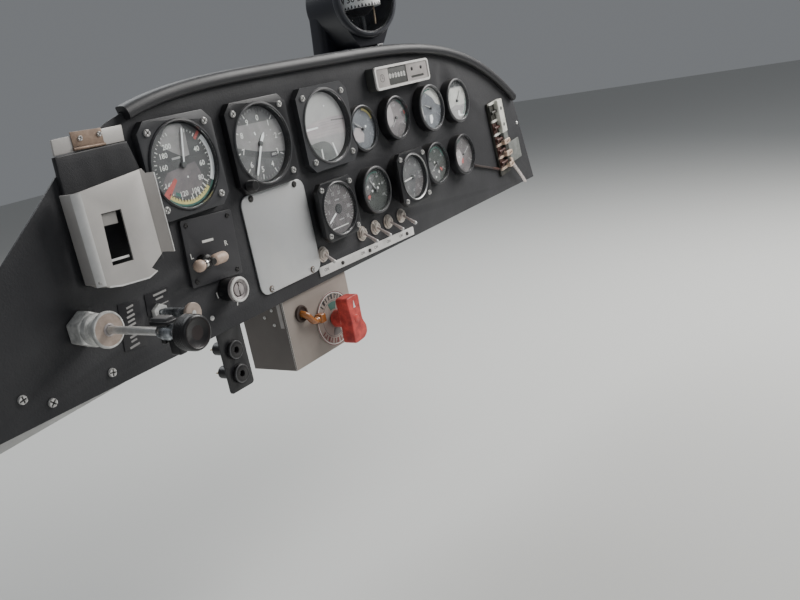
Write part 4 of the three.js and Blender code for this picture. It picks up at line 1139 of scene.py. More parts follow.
def make_engine_gauge():
    make_square_case("engine_gauge", 12.3, 58, ENGINE, grow=1.1)
    marks = start_dial("engine_gauge", 25.4, DIAL_BROWN, ENGINE, nearer=1.8)
    sweep = (-130, 130)
    scale(marks, 0, [(7, *sweep, 20.0, 24.2, 1.0), (35, *sweep, 22.0, 24.2, 0.5)], PRINT_FADED)
    numbers(marks, 0, ["0", "5", "10", "15", "20", "25", "30", "35"], *sweep, 16.4, 5.0, PRINT_FADED)
    for x, z, width in ((0, 9.2, 7), (1.5, -11.5, 8)):
        marks.print_flat(rounded(width, 1.1, 0.3, x, z), 0, PRINT_FADED)
    marks.print_flat([(-15.5, -19.0), (-15.5, -18.0), (10.6, -18.0), (10.6, -19.0)], 0, PRINT_IVORY)
    hub(marks, 0, 5.4, DIAL_BLACK, 0.6)
    needle(marks, -0.8, -121, 22.5, 1.9, tail=-7.5)
    marks.done()


def make_climb_gauge():
    make_square_case("climb_gauge", 20.5, 44, CLIMB, bright_lip=True)
    marks = start_dial("climb_gauge", 23.6, DIAL_GREY, CLIMB)
    reflection_and_fade_patch(marks, [(5, -4), (22, -2), (24, -12), (10, -24), (0, -22), (4, -12)], DIAL_BROWN, 23.4)
    sweep = (-260, 80)
    scale(marks, 0, [(8, *sweep, 18.8, 22.2, 0.9), (40, *sweep, 20.6, 22.2, 0.4)], PRINT_FADED)
    names = ["20", "15", "10", "5", "0", "5", "10", "15", "20"]
    numbers(marks, 0, names, *sweep, 15, 4.2, PRINT_FADED)
    hub(marks, 0, 2.6, DIAL_SLATE)
    needle(marks, -1.4, -95, 19, 1.6, PRINT_IVORY, tail=4)
    marks.done()


# Round gauges: name, x, z, bezel radius, how far it stands from the sheet, dial finish, ring finish,
# needle angle and length, the numbers on its scale
# A grey ring finish stands for the sheen of light on those rims: painted highlight.
GAUGES = [
    ("gauge_1", 50.1, 127.2, 25.2, 7, DIAL_SKY, RIM_BLACK, (-62, 15), ["0", "2", "4", "6", "8"]),
    ("gauge_2", 108.8, 128.9, 24.6, 12, DIAL_BLUSH, RIM_BLACK, (-130, 14),
     ["50", "75", "100", "125", "150"]),
    ("gauge_3", 184.8, 128.9, 27.5, 12, DIAL_SKY, GREY_CASE_AND_SHEEN, (-70, 15), ["0", "1", "2", "3", "4", "5"]),
    ("gauge_4", 248.4, 128.6, 27.2, 12, DIAL_DUSK, GREY_CASE_AND_SHEEN, (40, 15), ["60", "80", "100", "120", "140"]),
    ("gauge_5", 45.4, 60.8, 25.8, 12, DIAL_GREEN, GREY_CASE_AND_SHEEN, (-35, 15), ["0", "20", "40", "60", "80", "100"]),
    ("gauge_6", 176.6, 63.6, 25.4, 12, DIAL_GREEN, RIM_BLACK, (-120, 14), ["10", "20", "30", "40", "50"]),
    ("gauge_7", 243, 61.8, 25.6, 12, DIAL_BROWN, RIM_BLACK, (60, 15), ["8", "10", "12", "14", "16"]),
]

GAUGE_SWEEP = 120       # angle of a scale's ends from the top

# Coloured arcs and marks on the round gauges, as rows for arcs
GAUGE_ARCS = {
    "gauge_1": [(19.3, 21.6, 10, 66, PRINT_YELLOW)],
    "gauge_2": [(19.2, 20.6, 20, 110, PRINT_GREEN), (17.6, 20.6, 70, 84, PRINT_RED)],
    "gauge_3": [(20.8, 22.2, -60, 10, PRINT_GREEN)],
    "gauge_4": [(20.4, 21.8, 90, 150, PRINT_GREEN)],
    "gauge_5": [(12.6, 17, -116, -104, PRINT_RED), (18.5, 20.0, -90, 20, PRINT_GREEN)],
    "gauge_6": [(9, 14.5, 128, 140, PRINT_RED), (18.2, 19.6, -40, 70, PRINT_GREEN)],
    "gauge_7": [(5, 11.5, -164, -140, PRINT_RED), (18.3, 19.8, -110, -10, PRINT_GREEN)],
}

# Patches on the round gauges: an outline about the centre, and its finish. The white and pale ones are
# painted reflections of the glass; the others are partly painted reflection, partly faded paint.
GAUGE_REFLECTIONS_AND_FADES = {
    "gauge_1": [([(-13, 3), (-5, 2), (1, -6), (-2, -14), (-12, -13), (-20, -6)], DIAL_PINK),
                ([(4.8, 2.8), (7.2, 2.8), (7.2, 0.4), (4.8, 0.4)], PRINT_WHITE)],
    "gauge_2": [([(-14, 14), (-7, 16), (-4, 4), (-6, -6), (-14, -8), (-20, 0)], DIAL_PINK),
                ([(4, -8), (22, -3), (20, -14), (8, -24), (-4, -22)], DIAL_BROWN),
                ([(12, 6), (18, 5), (17, -2), (13, 0)], DIAL_BROWN)],
    "gauge_3": [([(-10, 20), (0, 26), (14, 24), (25, 12), (25, -1), (13, 4), (7, 11), (-3, 17)], DIAL_WHITE_REFLECTION),
                ([(-25, 12), (-20, 14), (-17, -2), (-15, -16), (-22, -12)], DIAL_PALE_REFLECTION),
                ([(-4, -8), (1, -8), (2, -13), (-1, -18), (-5, -18), (-5, -12)], PRINT_WHITE)],
    "gauge_4": [([(-24, 15.6), (-10, 15.6), (20, 15.2), (28, 4), (27, -6), (8, -6), (-6, -5), (-20, -8)],
                 DIAL_WHITE_REFLECTION),
                ([(-16, 17), (22, 16.2), (26, 24), (0, 30), (-16, 24)], DIAL_SLATE),
                ([(0, -12), (3, -12), (4.6, -17.4), (14, -18), (14, -19.6), (3, -20), (-1, -18)],
                 PRINT_WHITE)],
    "gauge_5": [([(-22, 12), (-8, 20), (2, 16), (-4, 6), (-12, -2), (-22, -4)], DIAL_GREY)],
    "gauge_6": [([(-20, 4), (-10, 4), (-4, -6), (6, -8), (2, -22), (-14, -18)], DIAL_GREY)],
    "gauge_7": [([(-20, 4), (-8, 8), (-2, -2), (-8, -12), (-18, -12)], DIAL_PINK)],
}

# Small bright dots on the darker gauges: x and z from the centre, radius
GAUGE_DOTS = {
    "gauge_5": [(-2.3, 6.6, 1.5), (4.3, 1.4, 1.5), (-13.2, 6.1, 1.3), (-6.4, 0.1, 1.4), (8.2, 5.0, 0.9)],
    "gauge_6": [(-4.0, 2.0, 1.2), (2.7, -10.8, 1.6), (9.8, -9.0, 1.2), (-8.6, -6.8, 1.1), (-5.3, -15.7, 1.3)],
    "gauge_7": [(-11.1, -1.3, 1.4)],
}


def make_round_case(name, place, bezel, front, ring_finish):
    y = face_of(name)
    can = bezel - 3
    case = Piece(f"{name}_housing", "black_case", **place)
    case.add(lathe([(0, y + 1.2), (bezel - 2.2, y + 1.2), (bezel - 2.2, front + 1.6),
                    (bezel - 0.2, front + 1), (bezel, front + 1.6), (bezel, SEAT), (can, SEAT), (can, 14),
                    (can - 0.5, 14.5), (can - 0.5, 17), (can, 17.5), (can, 34.4), (can - 1.6, 36),
                    (0, 36)], 60), CASE_BLACK)
    case.add(lathe([(bezel - 3.4, y + 0.2), (bezel - 2.7, front + 0.3), (bezel - 2.0, front + 0.3),
                    (bezel - 2.0, y + 0.2)], 60), CASE_BLACK)
    rim = [(-2.8, 0.6), (-2.7, 0.1), (-2.3, -0.1), (-1.3, 0), (-0.4, 0.5), (0, 1.5), (-0.4, 2.4),
           (-2.2, 2.4)]
    case.add(lathe(measured(front, rim, bezel), 60), ring_finish)
    case.add(lathe([(0, 36), (3.9, 36), (3.9, 38.4), (3.0, 38.8), (3.0, 43), (0, 43)], 24), BRASS)
    for x in (-11, 11):
        case.add(lathe([(0, 35.6), (2.6, 35.6), (2.6, 36.8), (0, 36.8)], 16), CAN_BLACK, x=x)
    case.done(f"{name}_case")


def make_round_gauge(name, x, z, bezel, proud, dial_tint, ring_finish, pointer, names):
    place = {"x": x, "z": z}
    front = FACE - proud
    make_round_case(name, place, bezel, front, ring_finish)
    marks = start_dial(name, bezel - 3, dial_tint, place)
    for level, (outline, tint) in enumerate(GAUGE_REFLECTIONS_AND_FADES[name]):
        reflection_and_fade_patch(marks, outline, tint, bezel - 3.4, level)
    for dx, dz, radius in GAUGE_DOTS.get(name, ()):
        marks.print_flat(circle(radius, 18, dx, dz), 0, PRINT_IVORY)
    sweep = (-GAUGE_SWEEP, GAUGE_SWEEP)
    edge = bezel - 4.4
    steps = len(names) - 1
    ticks = [(steps, *sweep, edge - 3.4, edge, 0.7), (steps * 5, *sweep, edge - 1.8, edge, 0.3)]
    scale(marks, 0, ticks, PRINT_FADED)
    numbers(marks, 0, names, *sweep, edge - 6.4, 3.8, PRINT_FADED)
    arcs(marks, -0.1, GAUGE_ARCS[name])
    hub(marks, 0, 1.9, DIAL_GREY)
    needle(marks, -1.2, *pointer, 1.1, PRINT_FADED, tail=3)
    marks.done()
    pane = [(0, 0.3), (bezel - 3, 0.3), (bezel - 3, 0.8), (0, 0.8)]
    add_glass(f"{name}_glass", front, pane, 52, place)


# Compass above the panel, turned a little to the left

COMPASS = {"x": 131.6, "y": 17.9, "z": 262, "yaw": -18}
COMPASS_RING = 42.5
COMPASS_DEPTH = 62
COMPASS_BASE = -50
COMPASS_SHELF = -71
COMPASS_NECK = 17
BOWL_FROM, BOWL_SWEEP, BOWL_STEPS = -37, 254, 48        # the bowl's arc, in degrees from X towards Z
CARD_Y = 10             # the card's axis, behind the ring
CARD_RADIUS = 23.4


def hood_outline(inset):
    """The compass body seen from the front: a round bowl drawn in to a neck, smaller by the inset."""
    reach, neck, base = COMPASS_RING - 1 - inset, COMPASS_NECK - inset, COMPASS_BASE + inset
    turns = [math.radians(BOWL_FROM + BOWL_SWEEP * i / BOWL_STEPS) for i in range(BOWL_STEPS + 1)]
    return [(neck, base), *[(reach * math.cos(t), reach * math.sin(t)) for t in turns], (-neck, base)]


def stood_up(x, y, z):
    """A turned form's point once its axis stands along Z."""
    return x, -z, y


def make_compass_shell():
    shell = Piece("compass_shell", "compass_black", **COMPASS)
    shell.add(prism(hood_outline(0), 0.4, 34.2, [circle(35.4, 60)]), COMPASS_SHELL)
    corner = 7          # radius of the rounded rear edge
    rows = [(34, 0)] + [(COMPASS_DEPTH - corner + corner * math.sin(t), corner - corner * math.cos(t))
                        for t in (math.pi / 2 * i / 7 for i in range(8))]
    shell.add(loft([[(x, y, z) for x, z in hood_outline(inset)] for y, inset in rows]), COMPASS_SHELL)
    foot = block(-26, 26, 12, COMPASS_DEPTH, COMPASS_SHELF, COMPASS_BASE + 1)
    shell.add(foot, COMPASS_SHELL, bevel=3, segments=4)
    sections = [(COMPASS_SHELF, 38, 44.2, 72), (-52, 38, 43, 71.4), (-30, 38.6, 40, 67), (-8, 40.4, 36, 61.6)]
    heel = [[(px, py, z) for px, py in rounded(2 * half, y1 - y0, 7, 0, (y0 + y1) / 2)]
            for z, half, y0, y1 in sections]
    shell.add(loft(heel), COMPASS_SHELL)
    shell.add(lathe([(36.6, 3), (36.6, -6.0), (37.3, -6.9), (38.6, -7), (40.8, -5.8), (42.2, -3.4),
                     (42.5, -1), (42.4, 1.2), (41.2, 3)], 72), COMPASS_BAND)
    shell.add(lathe([(35.2, -4.9), (36.8, -5.2), (36.8, 6), (35.2, 6)], 64), CASE_BLACK)
    shell.done("compass_case")


def wrapped_on_card(x, y, z):
    """A letter's point bent round the rim of the card."""
    lean, out = 10.0 * x / CARD_RADIUS, CARD_RADIUS + 0.05 - 4 * y
    return out * math.sin(lean), -out * math.cos(lean), 0.6 + 9.4 * z


def make_compass_inside():
    card = Piece("compass_card_and_bowl", "compass_black", **COMPASS)
    drum = lathe([(0, -8.6), (22.8, -8.6), (CARD_RADIUS, -8.4), (CARD_RADIUS, 9), (22.6, 9.8),
                  (21.5, 10), (0, 10)], 72)
    card.add(reshaped(drum, stood_up), PRINT_WHITE, y=CARD_Y)
    bowl = lathe([(0, -33), (3, -33), (3.2, -17), (8, -16), (15, -10), (17, -8.5), (0, -8.5)], 40)
    card.add(reshaped(bowl, stood_up), CASE_BLACK, y=CARD_Y)
    for i in range(36):
        tall = 3.6 if i % 3 == 0 else 2.6
        mark = prism([(-1.3, -8.5), (1.3, -8.5), (0.4, -8.5 + tall), (-0.4, -8.5 + tall)], -23.65, -23.1)
        card.add(mark, PRINT_DARK, y=CARD_Y, yaw=10 * i)
        if i % 3 == 0:
            name = {0: "N", 9: "E", 18: "S", 27: "W"}.get(i, str(i))
            card.add(reshaped(letters(name), wrapped_on_card), PRINT_DARK, y=CARD_Y, yaw=10 * i)
    lubber = [(9.0, -3.2, 26), (8.6, -3.6, 8), (8.2, -3.6, -10), (7.2, -3.2, -28)]
    card.add(tube(smooth_path(lubber, 4), 0.9, 12), LUBBER_GOLD)
    card.done("compass_card")

    pane = [(0, -5.7), (35.6, -5.2), (36.4, -5.0), (36.4, -4.4), (0, -4.9)]
    add_glass("compass_glass", 0, pane, 60, COMPASS)


def make_compass_stand():
    stand = Piece("compass_stand", "bare_aluminium")
    stand.take(solid_of("compass_bracket", 0.4), BARE_SHEET)
    dome = [(0, 0), (3.2, 0), (3.2, 0.8), (2, 1.6), (0, 1.8)]
    for x, z in ((116, 170), (116, 182), (160, 170), (160, 182)):
        stand.add(lathe(dome, 20), BRIGHT_SCREW, x=x, y=2.3, z=z)
    stand.done("compass_bracket")


# Blank plate and device holder

BLANK = {"x": -106.6, "z": 51}
BLANK_FACE = SEAT - 1.6


def make_blank_plate():
    make_whole("blank_cover_plate", "bare_aluminium", "blank_plate", 0.45, SATIN_PLATE)
    screws = Piece("blank_plate_screws", "steel_screw", **BLANK)
    washer = lathe([(2.2, 0.1), (3.3, 0.1), (3.3, -0.25), (3.0, -0.4), (2.2, -0.4)], 28)
    rows = ((-31, 43.4, DARK_SCREW, DARK_SCREW), (31, 43.4, DARK_SCREW, DARK_SCREW),
            (-31, -43.4, BRIGHT_SCREW, RUSTY_STEEL), (31, -43.4, BRIGHT_SCREW, RUSTY_STEEL))
    for i, (x, z, head_finish, washer_finish) in enumerate(rows):
        add_screw(screws, x, BLANK_FACE, z, 2.4, head_finish, turn=20 * i)
        screws.add(washer, washer_finish, x=x, y=BLANK_FACE, z=z)
    screws.done()


HOLDER_TAB = {"x": -289.5, "y": SEAT - 2, "z": 175.5}
HOLDER_BEND = (-324, -19, 6)        # x, y and radius of the pocket's rounded corner
HOLDER_FOLD = -268                  # x where the front folds back a little


def make_pocket():
    pocket = Piece("holder_bent_pocket", "bare_aluminium")
    pocket.take(solid_of("holder_pocket", 0.35), HOLDER_SHEET)
    x, y, radius = HOLDER_BEND
    # A bright skin over the rounded bend: painted highlight, partly rubbed metal.
    skin = [(x + (radius + out) * math.cos(t), y + (radius + out) * math.sin(t))
            for out, turns in ((0.2, range(9)), (-0.2, range(8, -1, -1)))
            for t in (math.radians(196 + 9 * i) for i in turns)]
    pocket.add(reshaped(prism(skin, 71.6, 141.6), swap_yz), HOLDER_RUBBED_AND_HIGHLIGHT)
    # The fold beyond HOLDER_FOLD gets a darker finish: painted shade.
    pocket.refinish(HOLDER_PAINTED_SHADE, lambda face: face.calc_center_median().x * METRE > HOLDER_FOLD)
    # Bright strips at the right edge and the foot: rubbed edges and painted highlight.
    edge = [(-252.2, 77.4), (-251.3, 77.2), (-251.3, 141.6), (-252.2, 141.6)]
    pocket.add(prism(edge, -21.4, -20.2), HOLDER_RUBBED_AND_HIGHLIGHT, bevel=0.2)
    foot = [(-322, 69.2), (-311, 66.9), (-285, 64.9), (-276, 67.9), (-276.6, 68.8), (-285, 66.1),
            (-311, 68.1), (-321.6, 70.5)]
    pocket.add(prism(foot, -25.15, -24.3), HOLDER_RUBBED_AND_HIGHLIGHT)
    pocket.done("holder_pocket", smooth=50)

    label = Piece("holder_window_label", "ivory_plastic")
    label.add(prism([(-311.9, 122.2), (-297.2, 121.6), (-297.6, 112.6), (-311.4, 113.4)], -22.4, -22.1),
              GREY_CARD)
    # A bright sill at the window's lower edge: rubbed edge and painted highlight.
    sill = [(-313.6, 86.6), (-296.4, 85.8), (-296.6, 87.6), (-313.4, 88.4)]
    label.add(prism(sill, -23.3, -22.8), HOLDER_RUBBED_AND_HIGHLIGHT, bevel=0.15)
    label.done()


def make_holder_pad():
    pad = Piece("holder_backing_pad", "black_vinyl")
    part = solid_of("holder_pad", 1.1, 3)
    lowest, highest = (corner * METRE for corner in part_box("holder_pad"))
    for axis, step in ((Vector((1, 0, 0)), 3.0), (Vector((0, 0, 1)), 6.0)):       # cut fine enough to fold
        at = step * math.ceil(lowest.dot(axis) / step)
        while at < highest.dot(axis):
            bmesh.ops.bisect_plane(part, geom=[*part.verts, *part.edges, *part.faces],
                                   plane_co=axis * at / METRE, plane_no=axis)
            at += step
    for vertex in part.verts:
        x, y, z = vertex.co * METRE
        if y < lowest.y + 1.2:
            fold = 0.18 * math.sin(x / 4.1) * math.sin(x / 9.7 + z / 60) + 0.2 * math.sin(z / 23 + x / 17)
            vertex.co.y += (0.6 + fold) * 0.8 / METRE
    pad.take(part, BLACK_VINYL)
    pad.done("holder_pad", smooth=60)


def make_holder_hinge():
    make_whole("holder_hanging_tab", "bare_aluminium", "holder_tab", 0.4, HOLDER_SHEET)
    hinge = Piece("holder_hinge_plate", "rusty_steel", **HOLDER_TAB)
    leaf = [(-15.4, 8.4), (12.4, 7.2), (12.0, -4.0), (-15.4, -2.6)]
    hinge.add(prism(leaf, -0.9, 0), HINGE_BROWN, bevel=0.3)
    for x, z in ((-8.3, 2.6), (9.2, 2.9)):
        add_screw(hinge, x, -0.9, z, 2.0, BRIGHT_SCREW, turn=30 + x)
    pin = [(-16, -0.6, -4.2), (12.6, -0.6, -5.2)]
    hinge.add(tube(pin, 1.3, 16), HINGE_BROWN)
    hinge.done()


# Magneto selector, ignition lock and printed labels

MAGNETO = {"x": -198, "z": 65, "tilt": 4}
MAGNETO_FACE = SEAT - 2.7
MAGNETO_SPINDLE = {"x": -213.4, "z": 57.2}
GRIP_Y = -17            # the middle of the selector's grip
LOCK = {"x": -191.5, "z": 25}
LOCK_FACE = -20
LOCK_RING = 11.2


def make_magneto_plate():
    make_whole("magneto_cover_plate", "black_case", "magneto_plate", 0.5, PLATE_SLATE)
    marks = Piece("magneto_markings", "dial_marking", y=MAGNETO_FACE, **MAGNETO)
    marks.print_flat(rounded(13, 2.2, 0.4, -3.6, 7.4), 0, PRINT_IVORY)
    marks.write("L", 6.6, -24.6, 0, -2.4, PRINT_IVORY, turn=-4)
    marks.write("R", 6.6, 16.6, 0, 0.9, PRINT_IVORY, turn=-4)
    marks.done()
    screws = Piece("magneto_screws", "steel_screw", y=MAGNETO_FACE, **MAGNETO)
    for sx, sz in ((-1, 1), (1, 1), (-1, -1), (1, -1)):
        add_screw(screws, 24.2 * sx, 0, 24.4 * sz, 2.3, BLACK_SCREW, turn=33 * sx + 11 * sz, height=0.8)
    screws.done()


def make_magneto_body():
    body = Piece("magneto_switch_body", "black_case", **MAGNETO_SPINDLE)
    body.add(lathe([(4.8, 26), (4.8, SEAT), (7.3, SEAT), (7.3, 0.4), (19.4, 0.4), (20, 1), (20, 11),
                    (19.3, 11.6), (19.3, 13.4), (20, 14), (20, 29.2), (19.2, 30), (0, 30), (0, 26)], 52),
             CAN_BLACK)
    for angle in (90, 210, 330):
        x, z = polar(13, angle)
        body.add(lathe([(0, 29.8), (2.6, 29.8), (2.6, 31.4), (1.7, 31.6), (1.7, 35.4), (1.2, 36), (0, 36)],
                       18), BRASS, x=x, z=z)
    body.done("magneto_body")


def make_magneto_handle():
    handle = Piece("magneto_grip", "blush_plastic", "magneto_lever", **MAGNETO_SPINDLE)
    handle.add(ball(5.3, 0.6, 32, 9), BLUSH_PLASTIC, x=-13.4, y=GRIP_Y)
    handle.add(ball(5.0, 8.6, 32, 9), BLUSH_PLASTIC, x=9.7, y=GRIP_Y)
    handle.add(tube([(-10, GRIP_Y, 0), (6, GRIP_Y, 0)], 3.0, 20), DARK_SCREW)
    handle.add(tube([(-7.6, GRIP_Y, 0), (-5.6, GRIP_Y, 0)], 3.6, 20), CHROME, bevel=0.3)
    handle.add(lathe([(0, -21.2), (2.6, -21.2), (3.2, -20.6), (3.4, -14.4), (5.4, -14), (6.1, -13.2),
                      (6.2, -9.9), (5.8, -9.5), (4.2, -9.5), (4.2, 24.6), (3.8, 25), (0, 25)], 40),
               DARK_SCREW)
    handle.done("magneto_handle")


def make_ignition_lock():
    lock = Piece("ignition_lock_housing", "chromed_metal", **LOCK)
    face, ring = LOCK_FACE, LOCK_RING
    lock.add(lathe([(9.5, SEAT), (9.5, face + 4.6), (ring, face + 4), (ring, face + 0.8),
                    (ring - 0.5, face + 0.2), (ring - 1.1, face), (ring - 2.2, face),
                    (ring - 2.6, face + 0.4), (ring - 3, face + 1.4), (6.7, face + 2.0), (6.7, 10), (0, 10),
                    (0, 33.4), (13.4, 33.4), (14, 32.8), (14, 0.8), (13.6, 0.3), (9.1, 0.3), (9.1, SEAT)],
                   56), LOCK_GREY)
    lip = [(-2.3, 0.2), (-2.1, -0.3), (-0.7, -0.3), (0, 0.5), (0, 1.2), (-2.3, 1.2)]
    lock.add(lathe(measured(face, lip, ring), 56), METER_IVORY)
    lock.add(lathe([(9.6, SEAT), (9.6, face + 5.2), (10.2, face + 5), (10.2, SEAT)], 48), CASE_BLACK)
    for angle in (60, 180, 300):
        x, z = polar(9, angle)
        lock.add(block(-2.4, 2.4, 33, 40, -0.5, 0.5), BRASS, bevel=0.15, x=x, z=z)
    lock.done("ignition_lock")
    core = Piece("ignition_lock_plug", "chromed_metal", "lock_cylinder", **LOCK)
    for side in (-1, 1):
        rim = [polar(5.9, side * a) for a in range(14, 167, 12)]
        half = [(side * 0.8, rim[0][1]), *rim, (side * 0.8, rim[-1][1])]
        core.add(prism(half, face + 1.2, face + 5), LOCK_GREY, bevel=0.4, segments=3)
    core.add(prism(rounded(0.7, 3.6, 0.2, 0.6, 0.6), face + 1.4, face + 4.8), BRIGHT_SCREW, bevel=0.15)
    core.add(lathe([(0, face + 4.6), (5.8, face + 4.6), (6, face + 5), (6, 9.5), (0, 9.5)], 44), BLACK_SCREW)
    core.done("lock_core")


# Black label plates by the throttle: outline, then the bars of faded lettering as x, z, length, width, lean
LABELS = [
    ([(-304.8, 49.7), (-283.9, 46.6), (-288.2, 9.9), (-309.7, 12.4)],
     [(-294.4, 44.6, 7, 1.6, -6), (-295.2, 41.2, 6, 1.6, -6), (-295.8, 37.4, 8, 1.7, -6),
      (-296.4, 33.8, 7, 1.6, -6), (-296.9, 30.4, 8, 1.7, -6), (-297.5, 27, 6, 1.6, -6),
      (-298.3, 21.4, 7, 1.7, -6), (-298.8, 18, 6, 1.6, -6), (-299.4, 13.8, 10, 1.8, -6)]),
    ([(-278, 48.9), (-253.6, 48.5), (-256.6, 27), (-279.8, 31)],
     [(-263.0, 45.6, 14, 1.7, -2), (-264.5, 41.8, 8, 1.5, -2), (-262.6, 36.4, 12, 0.9, -2)]),
]


def make_labels():
    plates = Piece("label_plates", "black_case")
    marks = Piece("label_markings", "dial_marking")
    for outline, bars in LABELS:
        plates.add(prism(outline, SEAT - 0.4, FACE + 0.05), LABEL_TAPE, bevel=0.2)
        for x, z, length, width, lean in bars:
            marks.add(prism(rounded(length, width, 0.3), SEAT - 0.5, SEAT - 0.35), PRINT_FADED,
                      x=x, z=z, tilt=lean)
    marks.add(prism(rounded(1.2, 5.6, 0.3), FACE - 0.2, FACE), PRINT_IVORY, x=-203.2, z=23.2, tilt=-6)
    marks.add(prism(rounded(1.2, 3.4, 0.3), FACE - 0.2, FACE), PRINT_IVORY, x=-182.5, z=8.6, tilt=24)
    plates.done()
    marks.done()


# Toggle switches and their label strip

SWITCH_ALONE = {"x": -54.5, "z": 17.2, "reach": -17.4, "drop": 8.6}
SWITCH_COLUMNS = [15.5, 41, 66.4, 93.5]
SWITCH_ROW = {"z": 20.1, "reach": -22.4, "drop": 10}
SWITCH_LABELS = {"x": 24, "y": SEAT - 0.9, "z": -0.8, "tilt": 1.15}


def add_toggle(piece, turn, x, z, reach, drop):
    """A lever switch through the sheet; the lever's tip lies at y = reach, lower than its nut by drop."""
    piece.add(block(x - 6.4, x + 6.4, 0.4, 19, z - 9.9, z + 9.9), CAN_BLACK, bevel=0.6)
    piece.add(block(x - 6.6, x + 6.6, 0.3, 2.2, z - 10.1, z + 10.1), ZINC, bevel=0.3)
    piece.add(prism(circle(8.1, 40, x, z), SEAT - 0.8, SEAT), NUT_BRASS, bevel=0.25)
    piece.add(prism(hexagon(12.4, 0, 0, turn), SEAT - 3.0, SEAT - 0.7), NUT_BRASS, bevel=0.5, x=x, z=z)
    collar = [(radius, -y) for radius, y in knurls(5.4, 0.2, 6.6, 0.35, 1.1)]
    piece.add(lathe([(0, 0.6), (5.4, 0.6), *collar, (4.8, -7.2), (3.2, -7.4), (2.8, -6.4), (0, -6.4)], 32),
              NUT_BRASS, x=x, z=z)
    bat = [(x, -6.2 + (reach + 6.2) * t, z - drop * t) for t in (0, 0.3, 0.6, 0.85, 0.97, 1)]
    piece.add(tube(bat, [1.2, 1.35, 1.6, 1.9, 1.8, 1.2], 20), ROSE_METAL)
    piece.add(ball(1.95, 0, 20, 6), BRIGHT_SCREW, x=x, y=reach + 1, z=z - drop + 0.7)
    for side in (-6, 6):
        piece.add(block(x - 2.2, x + 2.2, 18.6, 25.6, z + side - 0.5, z + side + 0.5), BRASS, bevel=0.15)


def make_toggles():
    alone = Piece("master_switch", "chromed_metal")
    add_toggle(alone, 12, **SWITCH_ALONE)
    alone.done("master_toggle")
    row = Piece("switch_row", "chromed_metal")
    for i, x in enumerate(SWITCH_COLUMNS):
        add_toggle(row, 17 * i, x, **SWITCH_ROW)
    z = SWITCH_ROW["z"] + 6
    row.add(block(SWITCH_COLUMNS[0] - 4, SWITCH_COLUMNS[-1] + 4, 22, 23.2, z - 3, z + 3), BRASS, bevel=0.3)
    for x in SWITCH_COLUMNS:
        add_screw(row, x, 23.2, z, 1.9, BRIGHT_SCREW, slots=1, yaw=180)
    row.done("toggle_row")

    make_whole("switch_label_strip", "ivory_plastic", "label_strip", 0.2, STRIP_WHITE)
    marks = Piece("switch_label_markings", "dial_marking", **SWITCH_LABELS)
    for x in (-78, -14, 11, 36, 62):
        marks.write("ON", 4.6, x, 0, 0.2, PRINT_GREY, turn=-SWITCH_LABELS["tilt"])
    marks.done()
    screws = Piece("switch_label_screws", "steel_screw", **SWITCH_LABELS)
    for x in (-51, -1.5, 74):
        add_screw(screws, x, 0, -0.2, 2.1, DARK_SCREW, turn=x)
    screws.done()


# Throttle and pull control

THROTTLE = {"x": -340, "z": 43}
THROTTLE_BORE = 3.9
NUT_FRONT = -22
KNOB_FRONT = -130
KNOB_REAR = -117.5
HUB_REAR = -92
PULL = {"x": -269, "z": 31}
PULL_BORE = 2.8
PULL_FRONT = -46


def make_throttle_mount():
    bore = THROTTLE_BORE
    mount = Piece("throttle_collar", "zinc_plate", **THROTTLE)
    mount.add(prism(hexagon(25), NUT_FRONT + 4, SEAT, [circle(bore, 30)]), ZINC, bevel=2.4, segments=4)
    crown = [(bore, 5), (11.9, 5), (12.2, 2.4), (11.2, 0.4), (9.4, 0), (bore, 0)]
    mount.add(lathe(measured(NUT_FRONT, crown), 56), ZINC)
    mount.add(lathe([(bore, NUT_FRONT + 1), (9, NUT_FRONT + 1), (9, -31.6), (13.0, -33.0), (13.8, -33.4),
                     (13.8, -35), (13.2, -35.9), (12.2, -36), (12.0, -35.4), (bore, -35.4)], 56), ZINC)
    mount.add(lathe([(4.6, -35.7), (12.1, -35.7), (12.1, -35.2), (4.6, -35.2)], 56), BLUSH_DISC)
    mount.add(lathe([(3.4, -36.5), (4.3, -36.5), (4.8, -36.2), (4.8, -35.2), (3.4, -35.2)], 40), LOCK_GREY)
    mount.add(lathe([(bore, SEAT - 1), (7.8, SEAT - 1), (7.8, 1), (bore, 1)], 40), ZINC)
    mount.add(prism(hexagon(22, turn=12), 0.4, 7, [circle(bore, 30)]), ZINC, bevel=0.7)
    mount.add(lathe([(bore, 6.8), *knurls(6.5, 6.8, 40, 0.5, 1.5), (5.6, 41), (5.6, 64), (bore, 64)], 32),
              ZINC)
    mount.done("throttle_mount")


def make_throttle_rod():
    rod = Piece("throttle_shaft", "zinc_plate", "throttle_lever", **THROTTLE)
    rod.add(lathe([(0, KNOB_FRONT + 9), (3, KNOB_FRONT + 9), (3, -91), *knurls(3, -90, -52, 0.12, 1.4),
                   (3, -51), (3, 11.6), (2.6, 12), (0, 12)], 32), BRIGHT_SCREW)
    rod.add(lathe([(3, KNOB_REAR + 0.4), (5.6, KNOB_REAR + 0.4), (5.9, -115), (5.9, -109.6),
                   (5.2, -108.6), (5.2, -105.4), (5.9, -104.4), (6.1, -97), (5.2, -95.6), (4.6, HUB_REAR),
                   (3, HUB_REAR)], 44), HUB_METAL)
    rod.add(block(-4.9, 4.9, -106, -88, 5.2, 8.6), KNOB_BLACK, bevel=1.2, segments=3)
    rod.add(block(-4.2, 4.2, -104, -90, 8.2, 11), GREY_CASE_AND_SHEEN, bevel=1.1, segments=3)
    rod.add(block(-3.4, 3.4, -110.8, -101.2, -15.8, -4.2), KNOB_BLACK, bevel=1.4, segments=3)
    rod.add(block(-3.0, 3.0, -97.6, -93.4, -8.4, -3.4), KNOB_BLACK, bevel=1.0, segments=3)
    rod.done("throttle_rod")


